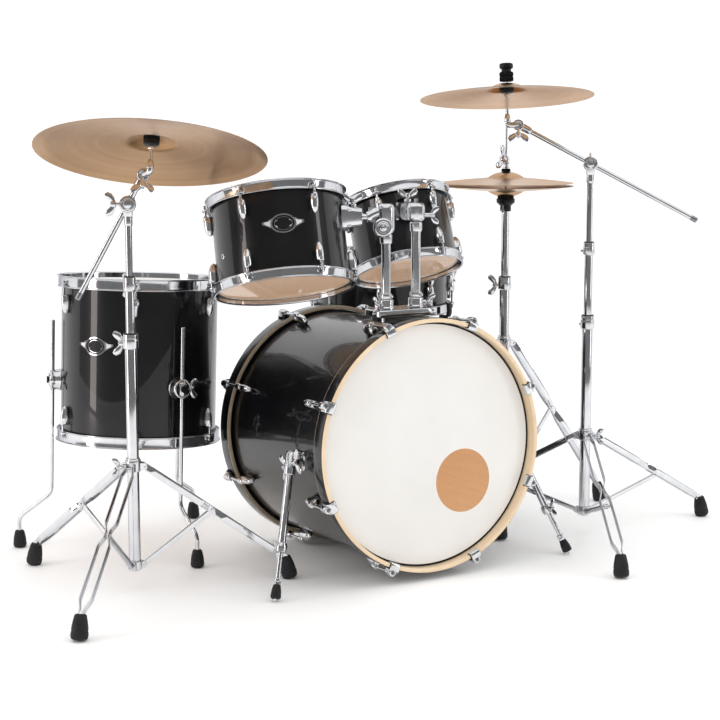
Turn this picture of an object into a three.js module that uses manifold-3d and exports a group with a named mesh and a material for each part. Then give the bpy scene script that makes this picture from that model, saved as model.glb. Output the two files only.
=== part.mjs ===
// Acoustic drum kit: 22 x 18 in bass drum, 10 and 12 in rack toms on one bracket, 15 in floor tom,
// 14 in snare drum, 20 in ride and 17 in crash on boom stands, and 14 in hi-hats.
// Millimetres, +Z up. The drummer sits on the +Y side and the audience on the -Y side.
import * as THREE from "three";
import { mergeVertices } from "three/addons/utils/BufferGeometryUtils.js";
import Module from "manifold-3d";

const wasm = await Module();
wasm.setup();

// ---------- driving dimensions ----------
const INCH = 25.4;
const DRUM_SIDES = 28;
const BASS_SIDES = 40;
const ROD_SIDES = 10;
const GAP = 0.4; // running gap between neighbouring pieces

const BASS = {
  radius: 11 * INCH,
  length: 18 * INCH,
  wall: 7.5,
  hoopRadius: 295,
  hoopWall: 10,
  hoopWidth: 40,
  hoopLip: 28, // how far a hoop stands in front of the shell's edge
  lift: 18, // how far the spurs raise the front hoop
  portRadius: 75,
  portOffset: [97, -94],
};
const BASS_DEPTH = BASS.length + 2 * BASS.hoopLip;
const BASS_TILT = Math.atan2(BASS.lift, BASS_DEPTH);

const TOM_12 = { radius: 6 * INCH, length: 8 * INCH, rim: 11, at: [-258, 270, 771], lean: [0.055, 0.299, 0.953] };
const TOM_10 = { radius: 5 * INCH, length: 7 * INCH, rim: 11, at: [178, 438, 765], lean: [0.03, 0.375, 0.926] };
const FLOOR_TOM = { radius: 7.5 * INCH, length: 374, rim: 15, at: [-449, 658, 472], lean: [0.047, 0.03, 0.998] };
const SNARE = { radius: 7 * INCH, length: 5.5 * INCH, rim: 12, at: [300, 735, 618] };

// A cymbal's place is the centre of its edge circle, and its lean is the way its bell points.
const RIDE = { radius: 10 * INCH, bell: 62, rise: 44, at: [-598, 225, 982], lean: [0.188, 0.249, 0.95] };
const CRASH = { radius: 8.5 * INCH, bell: 54, rise: 36, at: [391, 289, 1107], lean: [0.042, 0.12, 0.992] };
const HATS = { radius: 7 * INCH, bell: 52, rise: 28, at: [527, 480, 883], opening: 9 };
const CYMBAL_WALL = 1.6;
const CYMBAL_HOLE = 9;

const TUBE = { base: 13.2, baseBore: 10.9, middle: 10.1, middleBore: 8.4, upper: 7.6 };
const RIDE_STAND = { at: [-640, 257], legRadius: 363, legAngles: [108.5, 228.5, 348.5], collar: 292, foot: 58,
  baseTop: 590, middle: [430, 716], upper: [560, 874], strutAt: 0.47 };
const CRASH_STAND = { at: [554, 158], legRadius: 405, legAngles: [-115.5, 1, 124.5], collar: 262, foot: 60,
  baseTop: 568, middle: [400, 752], upper: [590, 945], strutAt: 0.6 };
const HAT_STAND = { at: [527, 480], legRadius: 312, legAngles: [-6, 114, -126], collar: 464, foot: 76,
  baseTop: 640, strutAt: 0.45 };
const SNARE_STAND = { at: [300, 735], legRadius: 250, legAngles: [63, 183, 303], collar: 250, foot: 60,
  baseTop: 360, strutAt: 0.5 };
const FOOT_HEIGHT = 52;

// ---------- materials ----------
const paint = (color, roughness, metalness) =>
  new THREE.MeshStandardMaterial({ color, roughness, metalness });
const black = paint(0x0b0b0d, 0.12, 0.0);
const chrome = paint(0xd8dadd, 0.12, 1.0);
const maple = paint(0xdcb585, 0.45, 0.0);
const film = paint(0xeeeae2, 0.55, 0.0);
const bronze = paint(0xb98a57, 0.35, 1.0);
const rubber = paint(0x141414, 0.8, 0.0);

// ---------- solids ----------
function solidOf(geometry) {
  const flat = geometry.index ? geometry.toNonIndexed() : geometry;
  const bare = new THREE.BufferGeometry().setAttribute("position", flat.getAttribute("position"));
  const merged = mergeVertices(bare, 1e-3);
  const index = merged.index.array;
  const kept = [];
  for (let i = 0; i < index.length; i += 3) {
    const [a, b, c] = index.slice(i, i + 3);
    if (a !== b && b !== c && a !== c) kept.push(a, b, c);
  }
  const mesh = new wasm.Mesh({
    numProp: 3,
    vertProperties: merged.attributes.position.array,
    triVerts: new Uint32Array(kept),
  });
  const made = new wasm.Manifold(mesh);
  if (made.volume() >= 0) return made;
  for (let i = 0; i < kept.length; i += 3) [kept[i + 1], kept[i + 2]] = [kept[i + 2], kept[i + 1]];
  return new wasm.Manifold(
    new wasm.Mesh({
      numProp: 3,
      vertProperties: merged.attributes.position.array,
      triVerts: new Uint32Array(kept),
    }),
  );
}

function geometryOf(solid) {
  const mesh = solid.getMesh();
  const points = new Float32Array(mesh.numVert * 3);
  for (let i = 0; i < mesh.numVert; i++) {
    const start = i * mesh.numProp;
    points.set(mesh.vertProperties.subarray(start, start + 3), i * 3);
  }
  return new THREE.BufferGeometry()
    .setAttribute("position", new THREE.BufferAttribute(points, 3))
    .setIndex(new THREE.BufferAttribute(mesh.triVerts, 1));
}

const join = (...pieces) => geometryOf(pieces.map(solidOf).reduce((all, one) => all.add(one)));
const cut = (piece, ...tools) =>
  geometryOf(tools.map(solidOf).reduce((left, tool) => left.subtract(tool), solidOf(piece)));

const vec = (p) => new THREE.Vector3(...p);
const UP = new THREE.Vector3(0, 0, 1);

// A matrix that carries local +Z along `direction` and the origin to `point`.
function pointing(point, direction) {
  const turn = new THREE.Quaternion().setFromUnitVectors(UP, vec(direction).normalize());
  return new THREE.Matrix4().compose(vec(point), turn, new THREE.Vector3(1, 1, 1));
}

// A round bar from a to b, with its radius at each end.
function rod(a, b, radius, endRadius = radius, sides = ROD_SIDES) {
  const [start, end] = [vec(a), vec(b)];
  const along = end.clone().sub(start);
  const bar = new THREE.CylinderGeometry(endRadius, radius, along.length(), sides);
  bar.rotateX(Math.PI / 2).translate(0, 0, along.length() / 2);
  return bar.applyMatrix4(pointing(a, along.toArray()));
}

// A flat bar from a to b: `width` across, `height` in the plane that holds the bar and +Z.
function bar(a, b, width, height) {
  const [start, end] = [vec(a), vec(b)];
  const along = end.clone().sub(start);
  const length = along.length();
  const x = along.normalize();
  const y = UP.clone().cross(x).normalize();
  const basis = new THREE.Matrix4().makeBasis(x, y, x.clone().cross(y)).setPosition(start);
  return new THREE.BoxGeometry(length, width, height).translate(length / 2, 0, 0).applyMatrix4(basis);
}

const block = (size, at) => new THREE.BoxGeometry(...size).translate(...at);

// A closed profile of [radius, height] points turned round Z.
function turned(profile, sides = DRUM_SIDES) {
  const points = profile.map(([r, z]) => new THREE.Vector2(r, z));
  if (profile[0][0] > 0) points.push(points[0].clone());
  return new THREE.LatheGeometry(points, sides).rotateX(Math.PI / 2);
}

const ring = (inner, outer, low, high, sides) =>
  turned([[inner, low], [outer, low], [outer, high], [inner, high]], sides);

const disc = (radius, low, high, sides = DRUM_SIDES) =>
  new THREE.CylinderGeometry(radius, radius, high - low, sides)
    .rotateX(Math.PI / 2)
    .translate(0, 0, (low + high) / 2);

const kit = new THREE.Group();
function add(name, geometry, material, group = kit) {
  const mesh = new THREE.Mesh(geometryOf(solidOf(geometry)), material);
  mesh.name = name;
  group.add(mesh);
  return mesh;
}

// ---------- drums ----------
const HOOP_INSIDE = 7.4; // how far a steel hoop's wall stands outside the shell
const HEAD_WALL = 1.4;

// A shell, two pressed steel hoops and two heads, on local Z, with the shell's middle at the origin.
function stringDrum(name, drum, group) {
  const { radius, length, rim } = drum;
  const edge = length / 2;
  add(`${name}_shell`, ring(radius - BASS.wall, radius, -edge, edge), black, group);
  const inside = radius + HOOP_INSIDE;
  const hoop = (side) =>
    side > 0
      ? ring(inside, inside + 5, edge - 14, edge + rim)
      : ring(inside, inside + 5, -edge - rim, -edge + 14);
  add(`${name}_batter_hoop`, hoop(1), chrome, group);
  add(`${name}_bottom_hoop`, hoop(-1), chrome, group);
  const head = disc(radius + HOOP_INSIDE - GAP, edge + GAP, edge + GAP + HEAD_WALL);
  add(`${name}_batter_head`, head, film, group);
  add(`${name}_bottom_head`, head.clone().rotateX(Math.PI), film, group);
}

function groupAt(point, direction) {
  const group = new THREE.Group();
  group.applyMatrix4(pointing(point, direction));
  kit.add(group);
  return group;
}

// ---------- bass drum ----------
// Its group's origin is where the rear hoop stands on the floor, and its axis is local Y.
const bass = new THREE.Group();
bass.position.set(0, BASS_DEPTH, 0);
bass.rotation.x = -BASS_TILT;
kit.add(bass);
const alongDrum = (geometry) =>
  geometry.rotateX(-Math.PI / 2).translate(0, -BASS_DEPTH / 2, BASS.hoopRadius);

const bassEdge = BASS.length / 2;
const bassHoop = (side) => {
  const outer = side * (bassEdge + BASS.hoopLip);
  const inner = outer - side * BASS.hoopWidth;
  return alongDrum(
    ring(BASS.hoopRadius - BASS.hoopWall, BASS.hoopRadius, Math.min(outer, inner), Math.max(outer, inner), BASS_SIDES),
  );
};
const headAt = (side) => {
  const low = side * (bassEdge + GAP);
  const high = low + side * HEAD_WALL;
  return disc(BASS.hoopRadius - BASS.hoopWall - GAP, Math.min(low, high), Math.max(low, high), BASS_SIDES);
};
add("bass_shell", alongDrum(ring(BASS.radius - BASS.wall, BASS.radius, -bassEdge, bassEdge, BASS_SIDES)), black, bass);
// rotateX(-90 degrees) carries local +Z to +Y, so side -1 is the front, towards the audience.
add("bass_front_hoop", bassHoop(-1), maple, bass);
add("bass_rear_hoop", bassHoop(1), black, bass);
const [portX, portZ] = BASS.portOffset;
const port = new THREE.CylinderGeometry(BASS.portRadius, BASS.portRadius, 60, 24).translate(
  portX,
  -BASS_DEPTH + BASS.hoopLip,
  BASS.hoopRadius + portZ,
);
add("bass_front_head", cut(alongDrum(headAt(-1)), port), film, bass);
add("bass_batter_head", alongDrum(headAt(1)), film, bass);

// The bracket on top of the shell, with a clamp for each tom post, in the kit's own frame.
const POSTS = { left: [-45, 150], right: [38, 152] };
const POST_RADIUS = 11;
const BRACKET_TOP = 642;
const bracketBase = block([170, 84, 34], [-3, 151, 606]);
const shellCutter = alongDrum(disc(BASS.radius + GAP, -bassEdge, bassEdge, BASS_SIDES))
  .applyMatrix4(new THREE.Matrix4().makeRotationX(-BASS_TILT).setPosition(0, BASS_DEPTH, 0));
const clampAt = ([x, y], low, high, radius) => rod([x, y, low], [x, y, high], radius);
add(
  "bass_tom_bracket",
  cut(
    join(
      bracketBase,
      ...Object.values(POSTS).map((at) => clampAt(at, 600, BRACKET_TOP, 19)),
    ),
    shellCutter,
    ...Object.values(POSTS).map((at) => clampAt(at, 560, BRACKET_TOP + 10, POST_RADIUS + GAP)),
  ),
  chrome,
);

// Spurs: a steel tube held to a bracket on each side of the shell, with a rod and foot that slide in it.
const SPUR = { pivot: [-306, 136, 286], foot: [-407, 25, 0], tube: 9, bore: 6.2, rod: 5.4, tubeEnd: 0.64 };
for (const [side, mirror] of [["left", 1], ["right", -1]]) {
  const at = ([x, y, z]) => [x * mirror, y, z];
  const along = (t) => at(SPUR.pivot.map((p, i) => p + (SPUR.foot[i] - p) * t));
  const [x, y, z] = SPUR.pivot;
  add(
    `bass_spur_bracket_${side}`,
    cut(
      join(
        block([40, 74, 56], at([x + 28, y, z + 2])),
        rod(at([x + 14, y, z]), at([x - 14, y, z]), 17),
        rod(along(-0.06), along(SPUR.tubeEnd), SPUR.tube),
        rod(along(SPUR.tubeEnd - 0.06), along(SPUR.tubeEnd), SPUR.tube + 3),
      ),
      shellCutter,
      rod(along(0.2), along(SPUR.tubeEnd + 0.1), SPUR.bore),
    ),
    chrome,
  );
  add(
    `bass_spur_rod_${side}`,
    join(rod(along(0.3), along(0.94), SPUR.rod), rod(at(SPUR.foot), at([SPUR.foot[0], SPUR.foot[1], 40]), 13, 10)),
    chrome,
  );
}

// ---------- rack toms and their holder ----------
const tomGroups = { left: groupAt(TOM_12.at, TOM_12.lean), right: groupAt(TOM_10.at, TOM_10.lean) };
stringDrum("tom_12", TOM_12, tomGroups.left);
stringDrum("tom_10", TOM_10, tomGroups.right);

const TILTER_HEIGHT = 846;
const POST_TOP = { left: 794, right: 819 };
for (const [side, tom, name] of [["left", TOM_12, "tom_12"], ["right", TOM_10, "tom_10"]]) {
  const [x, y] = POSTS[side];
  const tilter = [x, y, TILTER_HEIGHT];
  add(
    `tom_post_${side}`,
    join(
      rod([x, y, 600], [x, y, POST_TOP[side]], POST_RADIUS),
      rod([x, y, POST_TOP[side] - 23], [x, y, POST_TOP[side]], 14),
    ),
    chrome,
  );
  // The arm leaves the tilter level and enters the plate on the near side of the shell.
  const away = new THREE.Vector3(tom.at[0] - x, tom.at[1] - y, 0);
  const out = away.clone().normalize();
  const axis = vec(tom.lean).normalize();
  const centre = vec(tom.at);
  const reach = (height) => {
    // where a level line at this height from the post meets the shell
    for (let t = 0; t < 600; t += 0.5) {
      const p = new THREE.Vector3(x, y, height).addScaledVector(out, t);
      const rel = p.clone().sub(centre);
      const off = rel.addScaledVector(axis, -rel.dot(axis)).length();
      if (off <= tom.radius + 1) return [t, p];
    }
    throw new Error("the arm misses the shell");
  };
  const level = TILTER_HEIGHT - 14;
  const [distance, touch] = reach(level);
  const plate = 42;
  const armEnd = touch.clone().addScaledVector(out, -(plate + GAP));
  add(
    `${name}_arm`,
    join(
      rod([x, y, POST_TOP[side] + 1], [x, y, TILTER_HEIGHT + 16], 21),
      rod([x, y, level], armEnd.toArray(), 7.5),
    ),
    chrome,
  );
  const shellHole = disc(tom.radius + GAP, -tom.length, tom.length).applyMatrix4(pointing(tom.at, tom.lean));
  const mount = bar(
    touch.clone().addScaledVector(out, -plate).toArray(),
    touch.clone().addScaledVector(out, 20).toArray(),
    58,
    52,
  );
  add(`${name}_mount`, cut(mount, shellHole), chrome);
}

// ---------- floor tom ----------
stringDrum("floor_tom", FLOOR_TOM, groupAt(FLOOR_TOM.at, FLOOR_TOM.lean));
// Each leg's bracket angle round the shell, then its foot's angle and distance from the shell's middle.
// The uprights are parallel to the drum's axis; the knees and feet stand plumb.
const FLOOR_LEG = { places: [[159, 156.6, 303.5], [275.5, 274.2, 279], [38, 38.7, 286]], inner: 211, top: 562,
  bend: 133, knee: 76, radius: 4.75 };
const roundFloorTom = (degrees, r, z, lean = [0, 0, 1]) => {
  const a = THREE.MathUtils.degToRad(degrees);
  const local = new THREE.Vector3(r * Math.cos(a), r * Math.sin(a), z - FLOOR_TOM.at[2]);
  return local.applyMatrix4(pointing(FLOOR_TOM.at, lean)).toArray();
};
FLOOR_LEG.places.forEach(([bracket, footAngle, outer], i) => {
  const { inner, top, bend, knee, radius } = FLOOR_LEG;
  const upright = (z) => roundFloorTom(bracket, inner, z, FLOOR_TOM.lean);
  const foot = (z) => roundFloorTom(footAngle, outer, z);
  add(
    `floor_tom_leg_${i + 1}`,
    join(
      rod(upright(bend - 2), upright(top), radius),
      rod(upright(bend), foot(knee), radius),
      rod(foot(20), foot(knee + 2), radius),
      rod(foot(0), foot(44), 16.5, 10.5),
    ),
    chrome,
  );
});

// ---------- stands ----------
// One leg: a pair of flat strips, pinched where the strut meets them, lying on local X from 0 to length.
function legPlate(length) {
  const outline = [[0, 14], [0.38, 14], [0.45, 6], [0.53, 6], [0.6, 13], [0.88, 13], [1, 6]];
  const points = [...outline, ...outline.slice().reverse().map(([t, w]) => [t, -w])];
  const shape = new THREE.Shape(points.map(([t, w]) => new THREE.Vector2(t * length, w)));
  const hole = (stations) => {
    const round = [...stations, ...stations.slice().reverse().map(([t, w]) => [t, -w])];
    shape.holes.push(new THREE.Path(round.map(([t, w]) => new THREE.Vector2(t * length, w)).reverse()));
  };
  hole([[0.05, 11], [0.37, 11], [0.43, 3]]);
  hole([[0.55, 3], [0.61, 10], [0.87, 10], [0.94, 4]]);
  return new THREE.ExtrudeGeometry(shape, { depth: 15, bevelEnabled: false }).translate(0, 0, -7.5);
}

// A folding tripod standing round its tube, open down the middle for the tube above.
function tripod(stand, tubeRadius = TUBE.base, bore = TUBE.baseBore, extras = []) {
  const [x, y] = stand.at;
  const parts = [
    rod([x, y, stand.foot], [x, y, stand.baseTop], tubeRadius),
    rod([x, y, stand.baseTop - 36], [x, y, stand.baseTop], tubeRadius + 3.5),
    rod([x, y, stand.collar - 16], [x, y, stand.collar + 16], tubeRadius + 7),
    rod([x, y, stand.foot - 4], [x, y, stand.foot + 16], tubeRadius + 6),
  ];
  for (const degrees of stand.legAngles) {
    const a = THREE.MathUtils.degToRad(degrees);
    const out = (r, z) => [x + r * Math.cos(a), y + r * Math.sin(a), z];
    const [start, end] = [out(12, stand.collar), out(stand.legRadius - 4, 36)];
    const along = vec(end).sub(vec(start));
    const length = along.length();
    const side = UP.clone().cross(along).normalize();
    const lie = new THREE.Matrix4()
      .makeBasis(along.clone().normalize(), side, along.clone().cross(side).normalize())
      .setPosition(vec(start));
    const joint = vec(start).addScaledVector(along, stand.strutAt);
    const inward = out(10, stand.foot + 6);
    parts.push(
      legPlate(length).applyMatrix4(lie),
      bar(inward, joint.toArray(), 9, 12),
      rod(out(stand.legRadius, 0), out(stand.legRadius, FOOT_HEIGHT), 18, 12),
    );
  }
  parts.push(...extras);
  return cut(join(...parts), rod([x, y, stand.foot - 20], [x, y, stand.baseTop + 20], bore));
}

// A tube that telescopes in the one below, with a clamp collar on top and a bore for the next.
function middleTube(stand) {
  const [x, y] = stand.at;
  const [low, high] = stand.middle;
  return cut(
    join(rod([x, y, low], [x, y, high], TUBE.middle), rod([x, y, high - 34], [x, y, high], TUBE.middle + 4)),
    rod([x, y, low - 10], [x, y, high + 10], TUBE.middleBore),
  );
}

// The top tube, with the fixed cheek of the clamp that grips a boom arm. The cheek stands to the side
// of the tube that `hinge` points to, and the arm passes on the other side.
const CLAMP = { radius: 18, cheek: [6, 22], neck: 21, armOffset: -16, armRadius: 6, knob: 50 };
function upperTube(stand, hinge) {
  const [x, y] = stand.at;
  const [low, high] = stand.upper;
  const on = (s, z) => [x + hinge[0] * s, y + hinge[1] * s, z];
  const middle = (CLAMP.cheek[0] + CLAMP.cheek[1]) / 2;
  return join(
    rod([x, y, low], [x, y, high - CLAMP.neck], TUBE.upper),
    rod([x, y, high - CLAMP.neck - 18], [x, y, high - CLAMP.neck], TUBE.upper + 1),
    bar(on(0, high - CLAMP.neck - 7), on(CLAMP.cheek[1] - 1, high - CLAMP.neck - 7), 16, 12),
    rod(on(middle, high - CLAMP.neck - 10), on(middle, high), 7),
    rod(on(CLAMP.cheek[0], high), on(CLAMP.cheek[1], high), CLAMP.radius),
    rod(on(CLAMP.cheek[1] - 2, high), on(CLAMP.knob, high), 5),
  );
}

// A cymbal on local Z, its edge circle about the origin and its bell towards +Z.
function cymbal({ radius, bell, rise }) {
  const bellRise = bell * 0.3;
  const top = [
    [CYMBAL_HOLE, rise],
    [bell * 0.6, rise - bellRise * 0.28],
    [bell, rise - bellRise],
    [radius * 0.64, (rise - bellRise) * 0.5],
    [radius, 0],
  ];
  const under = top.slice().reverse().map(([r, z]) => [r, z - CYMBAL_WALL]);
  return turned([...top, ...under]);
}

// The rod that a cymbal turns on, with a cup and felt below the bell and a felt and wing nut above it.
// `hole` is the point of the rod at the top of the bell.
const SEAT = { below: 3, above: 1, felt: 17, cup: 12, rodRadius: 4, stack: 48 };
function cymbalSeat(hole, n, drop) {
  const on = (s) => hole.clone().addScaledVector(n, s).toArray();
  const low = -CYMBAL_WALL - SEAT.below;
  return [
    rod(on(-drop), on(SEAT.stack), SEAT.rodRadius),
    rod(on(low - 22), on(low), SEAT.cup, SEAT.felt - 2),
    rod(on(SEAT.above), on(SEAT.above + 12), SEAT.felt - 2),
    rod(on(SEAT.above + 11), on(SEAT.above + 38), 9),
  ];
}

// The boom arm: a bar through its clamp's disc, with a fork at the upper end for the tilter.
const TILTER = { disc: 13, thickness: 11 };
function boomArm(stand, tilter, tail, hinge) {
  const clamp = [...stand.at, stand.upper[1]];
  const up = vec(tilter).sub(vec(clamp)).normalize();
  const aside = (p, s) => vec(p).addScaledVector(vec(hinge), s).toArray();
  const tailEnd = vec(clamp).addScaledVector(up, -tail).toArray();
  const neck = vec(tilter).addScaledVector(up, -26).toArray();
  const offset = CLAMP.armOffset;
  return join(
    rod(aside(tailEnd, offset), aside(tilter, offset), CLAMP.armRadius),
    rod(aside(clamp, offset - 5), aside(clamp, CLAMP.cheek[0] - GAP), CLAMP.radius - 2),
    rod(aside(neck, offset), aside(vec(tilter).addScaledVector(up, 4).toArray(), offset), 8.5),
    rod(aside(tilter, offset - 7), aside(tilter, offset + 9), TILTER.disc),
  );
}

// The tilter: a ratchet disc beside the boom arm's, and the rod that carries the cymbal.
function tilter(at, seat, hinge) {
  const n = vec(seat.lean).normalize();
  const hole = vec(seat.at).addScaledVector(n, seat.rise);
  const aside = (s) => vec(at).addScaledVector(vec(hinge), s);
  const face = CLAMP.armOffset + 9 + GAP;
  const drop = hole.clone().sub(aside(face + TILTER.thickness / 2)).dot(n);
  const foot = hole.clone().addScaledVector(n, -drop);
  return join(
    rod(aside(face).toArray(), aside(face + TILTER.thickness).toArray(), TILTER.disc),
    rod(aside(face + TILTER.thickness / 2).toArray(), foot.toArray(), 5),
    ...cymbalSeat(hole, n, drop + 3),
  );
}

// ---------- ride and crash cymbals on their boom stands ----------
// The level direction square to a boom arm, which its clamp turns about, towards the audience.
function across(from, to) {
  const v = vec(to).sub(vec(from));
  const side = new THREE.Vector3(v.y, -v.x, 0).normalize();
  return (side.y > 0 ? side.negate() : side).toArray();
}

const BOOMS = {
  ride: { stand: RIDE_STAND, cymbal: RIDE, tilter: [-609, 242, 937], tail: 239 },
  crash: { stand: CRASH_STAND, cymbal: CRASH, tilter: [411, 267, 1040], tail: 298 },
};
for (const [name, boom] of Object.entries(BOOMS)) {
  boom.clamp = [...boom.stand.at, boom.stand.upper[1]];
  boom.hinge = across(boom.clamp, boom.tilter);
  add(`${name}_stand_base`, tripod(boom.stand), chrome);
  add(`${name}_stand_middle_tube`, middleTube(boom.stand), chrome);
  add(`${name}_stand_upper_tube`, upperTube(boom.stand, boom.hinge), chrome);
  add(`${name}_boom_arm`, boomArm(boom.stand, boom.tilter, boom.tail, boom.hinge), chrome);
  add(`${name}_tilter`, tilter(boom.tilter, boom.cymbal, boom.hinge), chrome);
  add(`${name}_cymbal`, cymbal(boom.cymbal), bronze, groupAt(boom.cymbal.at, boom.cymbal.lean));
}

// ---------- hi-hats ----------
const [hatX, hatY, hatZ] = HATS.at;
const hatUpper = hatZ + HATS.opening / 2;
const hatLower = hatZ - HATS.opening / 2;
const hatTop = hatUpper + HATS.rise;
const hatLow = hatLower - HATS.rise;
const HAT_PEDAL = { direction: [0.17, 0.985], toe: 44, heel: 290, width: 70, toeHeight: 88, heelHeight: 20 };
const alongPedal = (s, z) => [hatX + HAT_PEDAL.direction[0] * s, hatY + HAT_PEDAL.direction[1] * s, z];
add(
  "hihat_stand_base",
  tripod(HAT_STAND, 12.7, 10.3, [
    bar(alongPedal(0, 6), alongPedal(HAT_PEDAL.heel + 22, 6), 40, 8),
    bar(alongPedal(HAT_PEDAL.heel + 2, 8), alongPedal(HAT_PEDAL.heel + 22, 8), 66, 12),
    rod([hatX, hatY, 2], [hatX, hatY, HAT_STAND.foot + 4], 16),
  ]),
  chrome,
);
add(
  "hihat_upper_tube",
  cut(
    join(
      rod([hatX, hatY, 470], [hatX, hatY, hatLow - 30], TUBE.middle),
      rod([hatX, hatY, hatLow - 34], [hatX, hatY, hatLow - 14], 12, 24),
      rod([hatX, hatY, hatLow - 14], [hatX, hatY, hatLow - GAP], 20),
    ),
    rod([hatX, hatY, 400], [hatX, hatY, hatLow + 20], 6),
  ),
  chrome,
);
add("hihat_bottom_cymbal", cymbal(HATS).rotateX(Math.PI), bronze, groupAt([hatX, hatY, hatLower], [0, 0, 1]));
add("hihat_top_cymbal", cymbal(HATS), bronze, groupAt([hatX, hatY, hatUpper], [0, 0, 1]));
add(
  "hihat_rod",
  join(
    rod([hatX, hatY, 500], [hatX, hatY, 1085], 3.2),
    rod([hatX, hatY, hatTop - 14], [hatX, hatY, hatTop - 5], 12),
    rod([hatX, hatY, hatTop - 8], [hatX, hatY, hatTop + 8], 6.5),
    rod([hatX, hatY, hatTop + GAP], [hatX, hatY, hatTop + 14], 14),
    rod([hatX, hatY, hatTop + 12], [hatX, hatY, hatTop + 60], 8),
  ),
  chrome,
);
add(
  "hihat_pedal",
  bar(alongPedal(HAT_PEDAL.heel, HAT_PEDAL.heelHeight), alongPedal(HAT_PEDAL.toe, HAT_PEDAL.toeHeight), HAT_PEDAL.width, 7),
  chrome,
);

// ---------- snare drum and stand ----------
stringDrum("snare", SNARE, groupAt(SNARE.at, [0, 0, 1]));
const snareBottom = SNARE.at[2] - SNARE.length / 2 - SNARE.rim;
const [snareX, snareY] = SNARE_STAND.at;
add("snare_stand_base", tripod(SNARE_STAND), chrome);
const BASKET = { hub: snareBottom - 86, reach: SNARE.radius + 25, angles: [60, 180, 300] };
add(
  "snare_basket",
  join(
    rod([snareX, snareY, 230], [snareX, snareY, BASKET.hub], TUBE.middle),
    rod([snareX, snareY, BASKET.hub - 20], [snareX, snareY, BASKET.hub + 14], 22),
    ...BASKET.angles.flatMap((degrees) => {
      const a = THREE.MathUtils.degToRad(degrees);
      const out = (r, z) => [snareX + r * Math.cos(a), snareY + r * Math.sin(a), z];
      return [
        bar(out(10, BASKET.hub), out(BASKET.reach - 4, snareBottom - 12), 18, 8),
        rod(out(BASKET.reach, snareBottom - 20), out(BASKET.reach, snareBottom + 32), 9),
        bar(out(BASKET.reach - 26, snareBottom - 7), out(BASKET.reach + 6, snareBottom - 7), 20, 12),
      ];
    }),
  ),
  chrome,
);
const STRAINER = { angle: THREE.MathUtils.degToRad(-20), height: SNARE.at[2] - 4 };
const onSnare = (r, z) => [
  SNARE.at[0] + r * Math.cos(STRAINER.angle),
  SNARE.at[1] + r * Math.sin(STRAINER.angle),
  z,
];
const pinDirection = new THREE.Vector3(-Math.sin(STRAINER.angle), Math.cos(STRAINER.angle), 0);
const STRAINER_PIN = { at: onSnare(SNARE.radius + 20, STRAINER.height), axis: pinDirection.toArray() };
const pinEnd = (s) => vec(STRAINER_PIN.at).addScaledVector(pinDirection, s).toArray();
add(
  "snare_throw_off",
  join(
    rod(pinEnd(-12), pinEnd(12), 6),
    bar(STRAINER_PIN.at, onSnare(SNARE.radius + 30, STRAINER.height + 46), 16, 5),
  ),
  chrome,
);
// ---------- the kit's own frame: the middle of its footprint, on the floor ----------
kit.updateMatrixWorld(true);
const bounds = new THREE.Box3().setFromObject(kit, true);
const centre = bounds.getCenter(new THREE.Vector3());
kit.position.set(-centre.x, -centre.y, -bounds.min.z);
export default kit;
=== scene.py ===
"""The looks of an acoustic drum kit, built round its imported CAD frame."""

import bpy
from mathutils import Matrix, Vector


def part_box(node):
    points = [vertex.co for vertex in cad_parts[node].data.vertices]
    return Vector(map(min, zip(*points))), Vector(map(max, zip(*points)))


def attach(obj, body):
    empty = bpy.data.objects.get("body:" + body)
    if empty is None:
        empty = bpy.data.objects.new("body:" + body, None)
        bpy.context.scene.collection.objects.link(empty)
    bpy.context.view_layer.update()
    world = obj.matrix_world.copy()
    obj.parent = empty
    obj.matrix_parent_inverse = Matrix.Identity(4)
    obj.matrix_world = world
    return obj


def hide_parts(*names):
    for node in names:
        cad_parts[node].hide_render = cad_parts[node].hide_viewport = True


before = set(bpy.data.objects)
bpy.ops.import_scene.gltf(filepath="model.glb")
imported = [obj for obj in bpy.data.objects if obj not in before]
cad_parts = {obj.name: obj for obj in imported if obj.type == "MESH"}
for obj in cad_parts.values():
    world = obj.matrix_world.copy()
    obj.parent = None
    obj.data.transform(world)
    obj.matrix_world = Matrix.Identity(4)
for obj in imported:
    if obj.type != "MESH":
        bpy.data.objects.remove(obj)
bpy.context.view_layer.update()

import math

import bmesh
import bpy
from mathutils import Matrix, Vector

# SHIFT carries them into the frame.

INCH = 25.4
FLOOR_TOM_AT = (-449.0, 658.0, 472.0)
SNARE_AT = (300.0, 735.0, 618.0)


def middle(node):
    """The middle of a node's box, in millimetres of the frame."""
    low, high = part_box(node)
    return (Vector(low) + Vector(high)) * 500


SHIFT = middle("floor_tom_shell") - Vector(FLOOR_TOM_AT)
UP = Vector((0, 0, 1))


class Drum:
    """A drum on its own Z axis: radius, length, the rim's height over the edge, and its lugs' angles."""

    def __init__(self, name, radius, length, rim, at, lean, lugs, first_lug):
        self.name = name
        self.radius = radius
        self.edge = length / 2
        self.rim = rim
        self.lugs = [first_lug + 360 * i / lugs for i in range(lugs)]
        self.place = pointing(at, lean)


def pointing(at, direction, hint=None):
    """A matrix whose Z axis points along direction, with X towards hint where one is given."""
    z = Vector(direction).normalized()
    if hint is None:
        turn = UP.rotation_difference(z).to_matrix().to_4x4()
        return Matrix.Translation(Vector(at)) @ turn
    x = (Vector(hint) - z * Vector(hint).dot(z)).normalized()
    y = z.cross(x)
    turn = Matrix((x, y, z)).transposed().to_4x4()
    return Matrix.Translation(Vector(at)) @ turn


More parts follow.
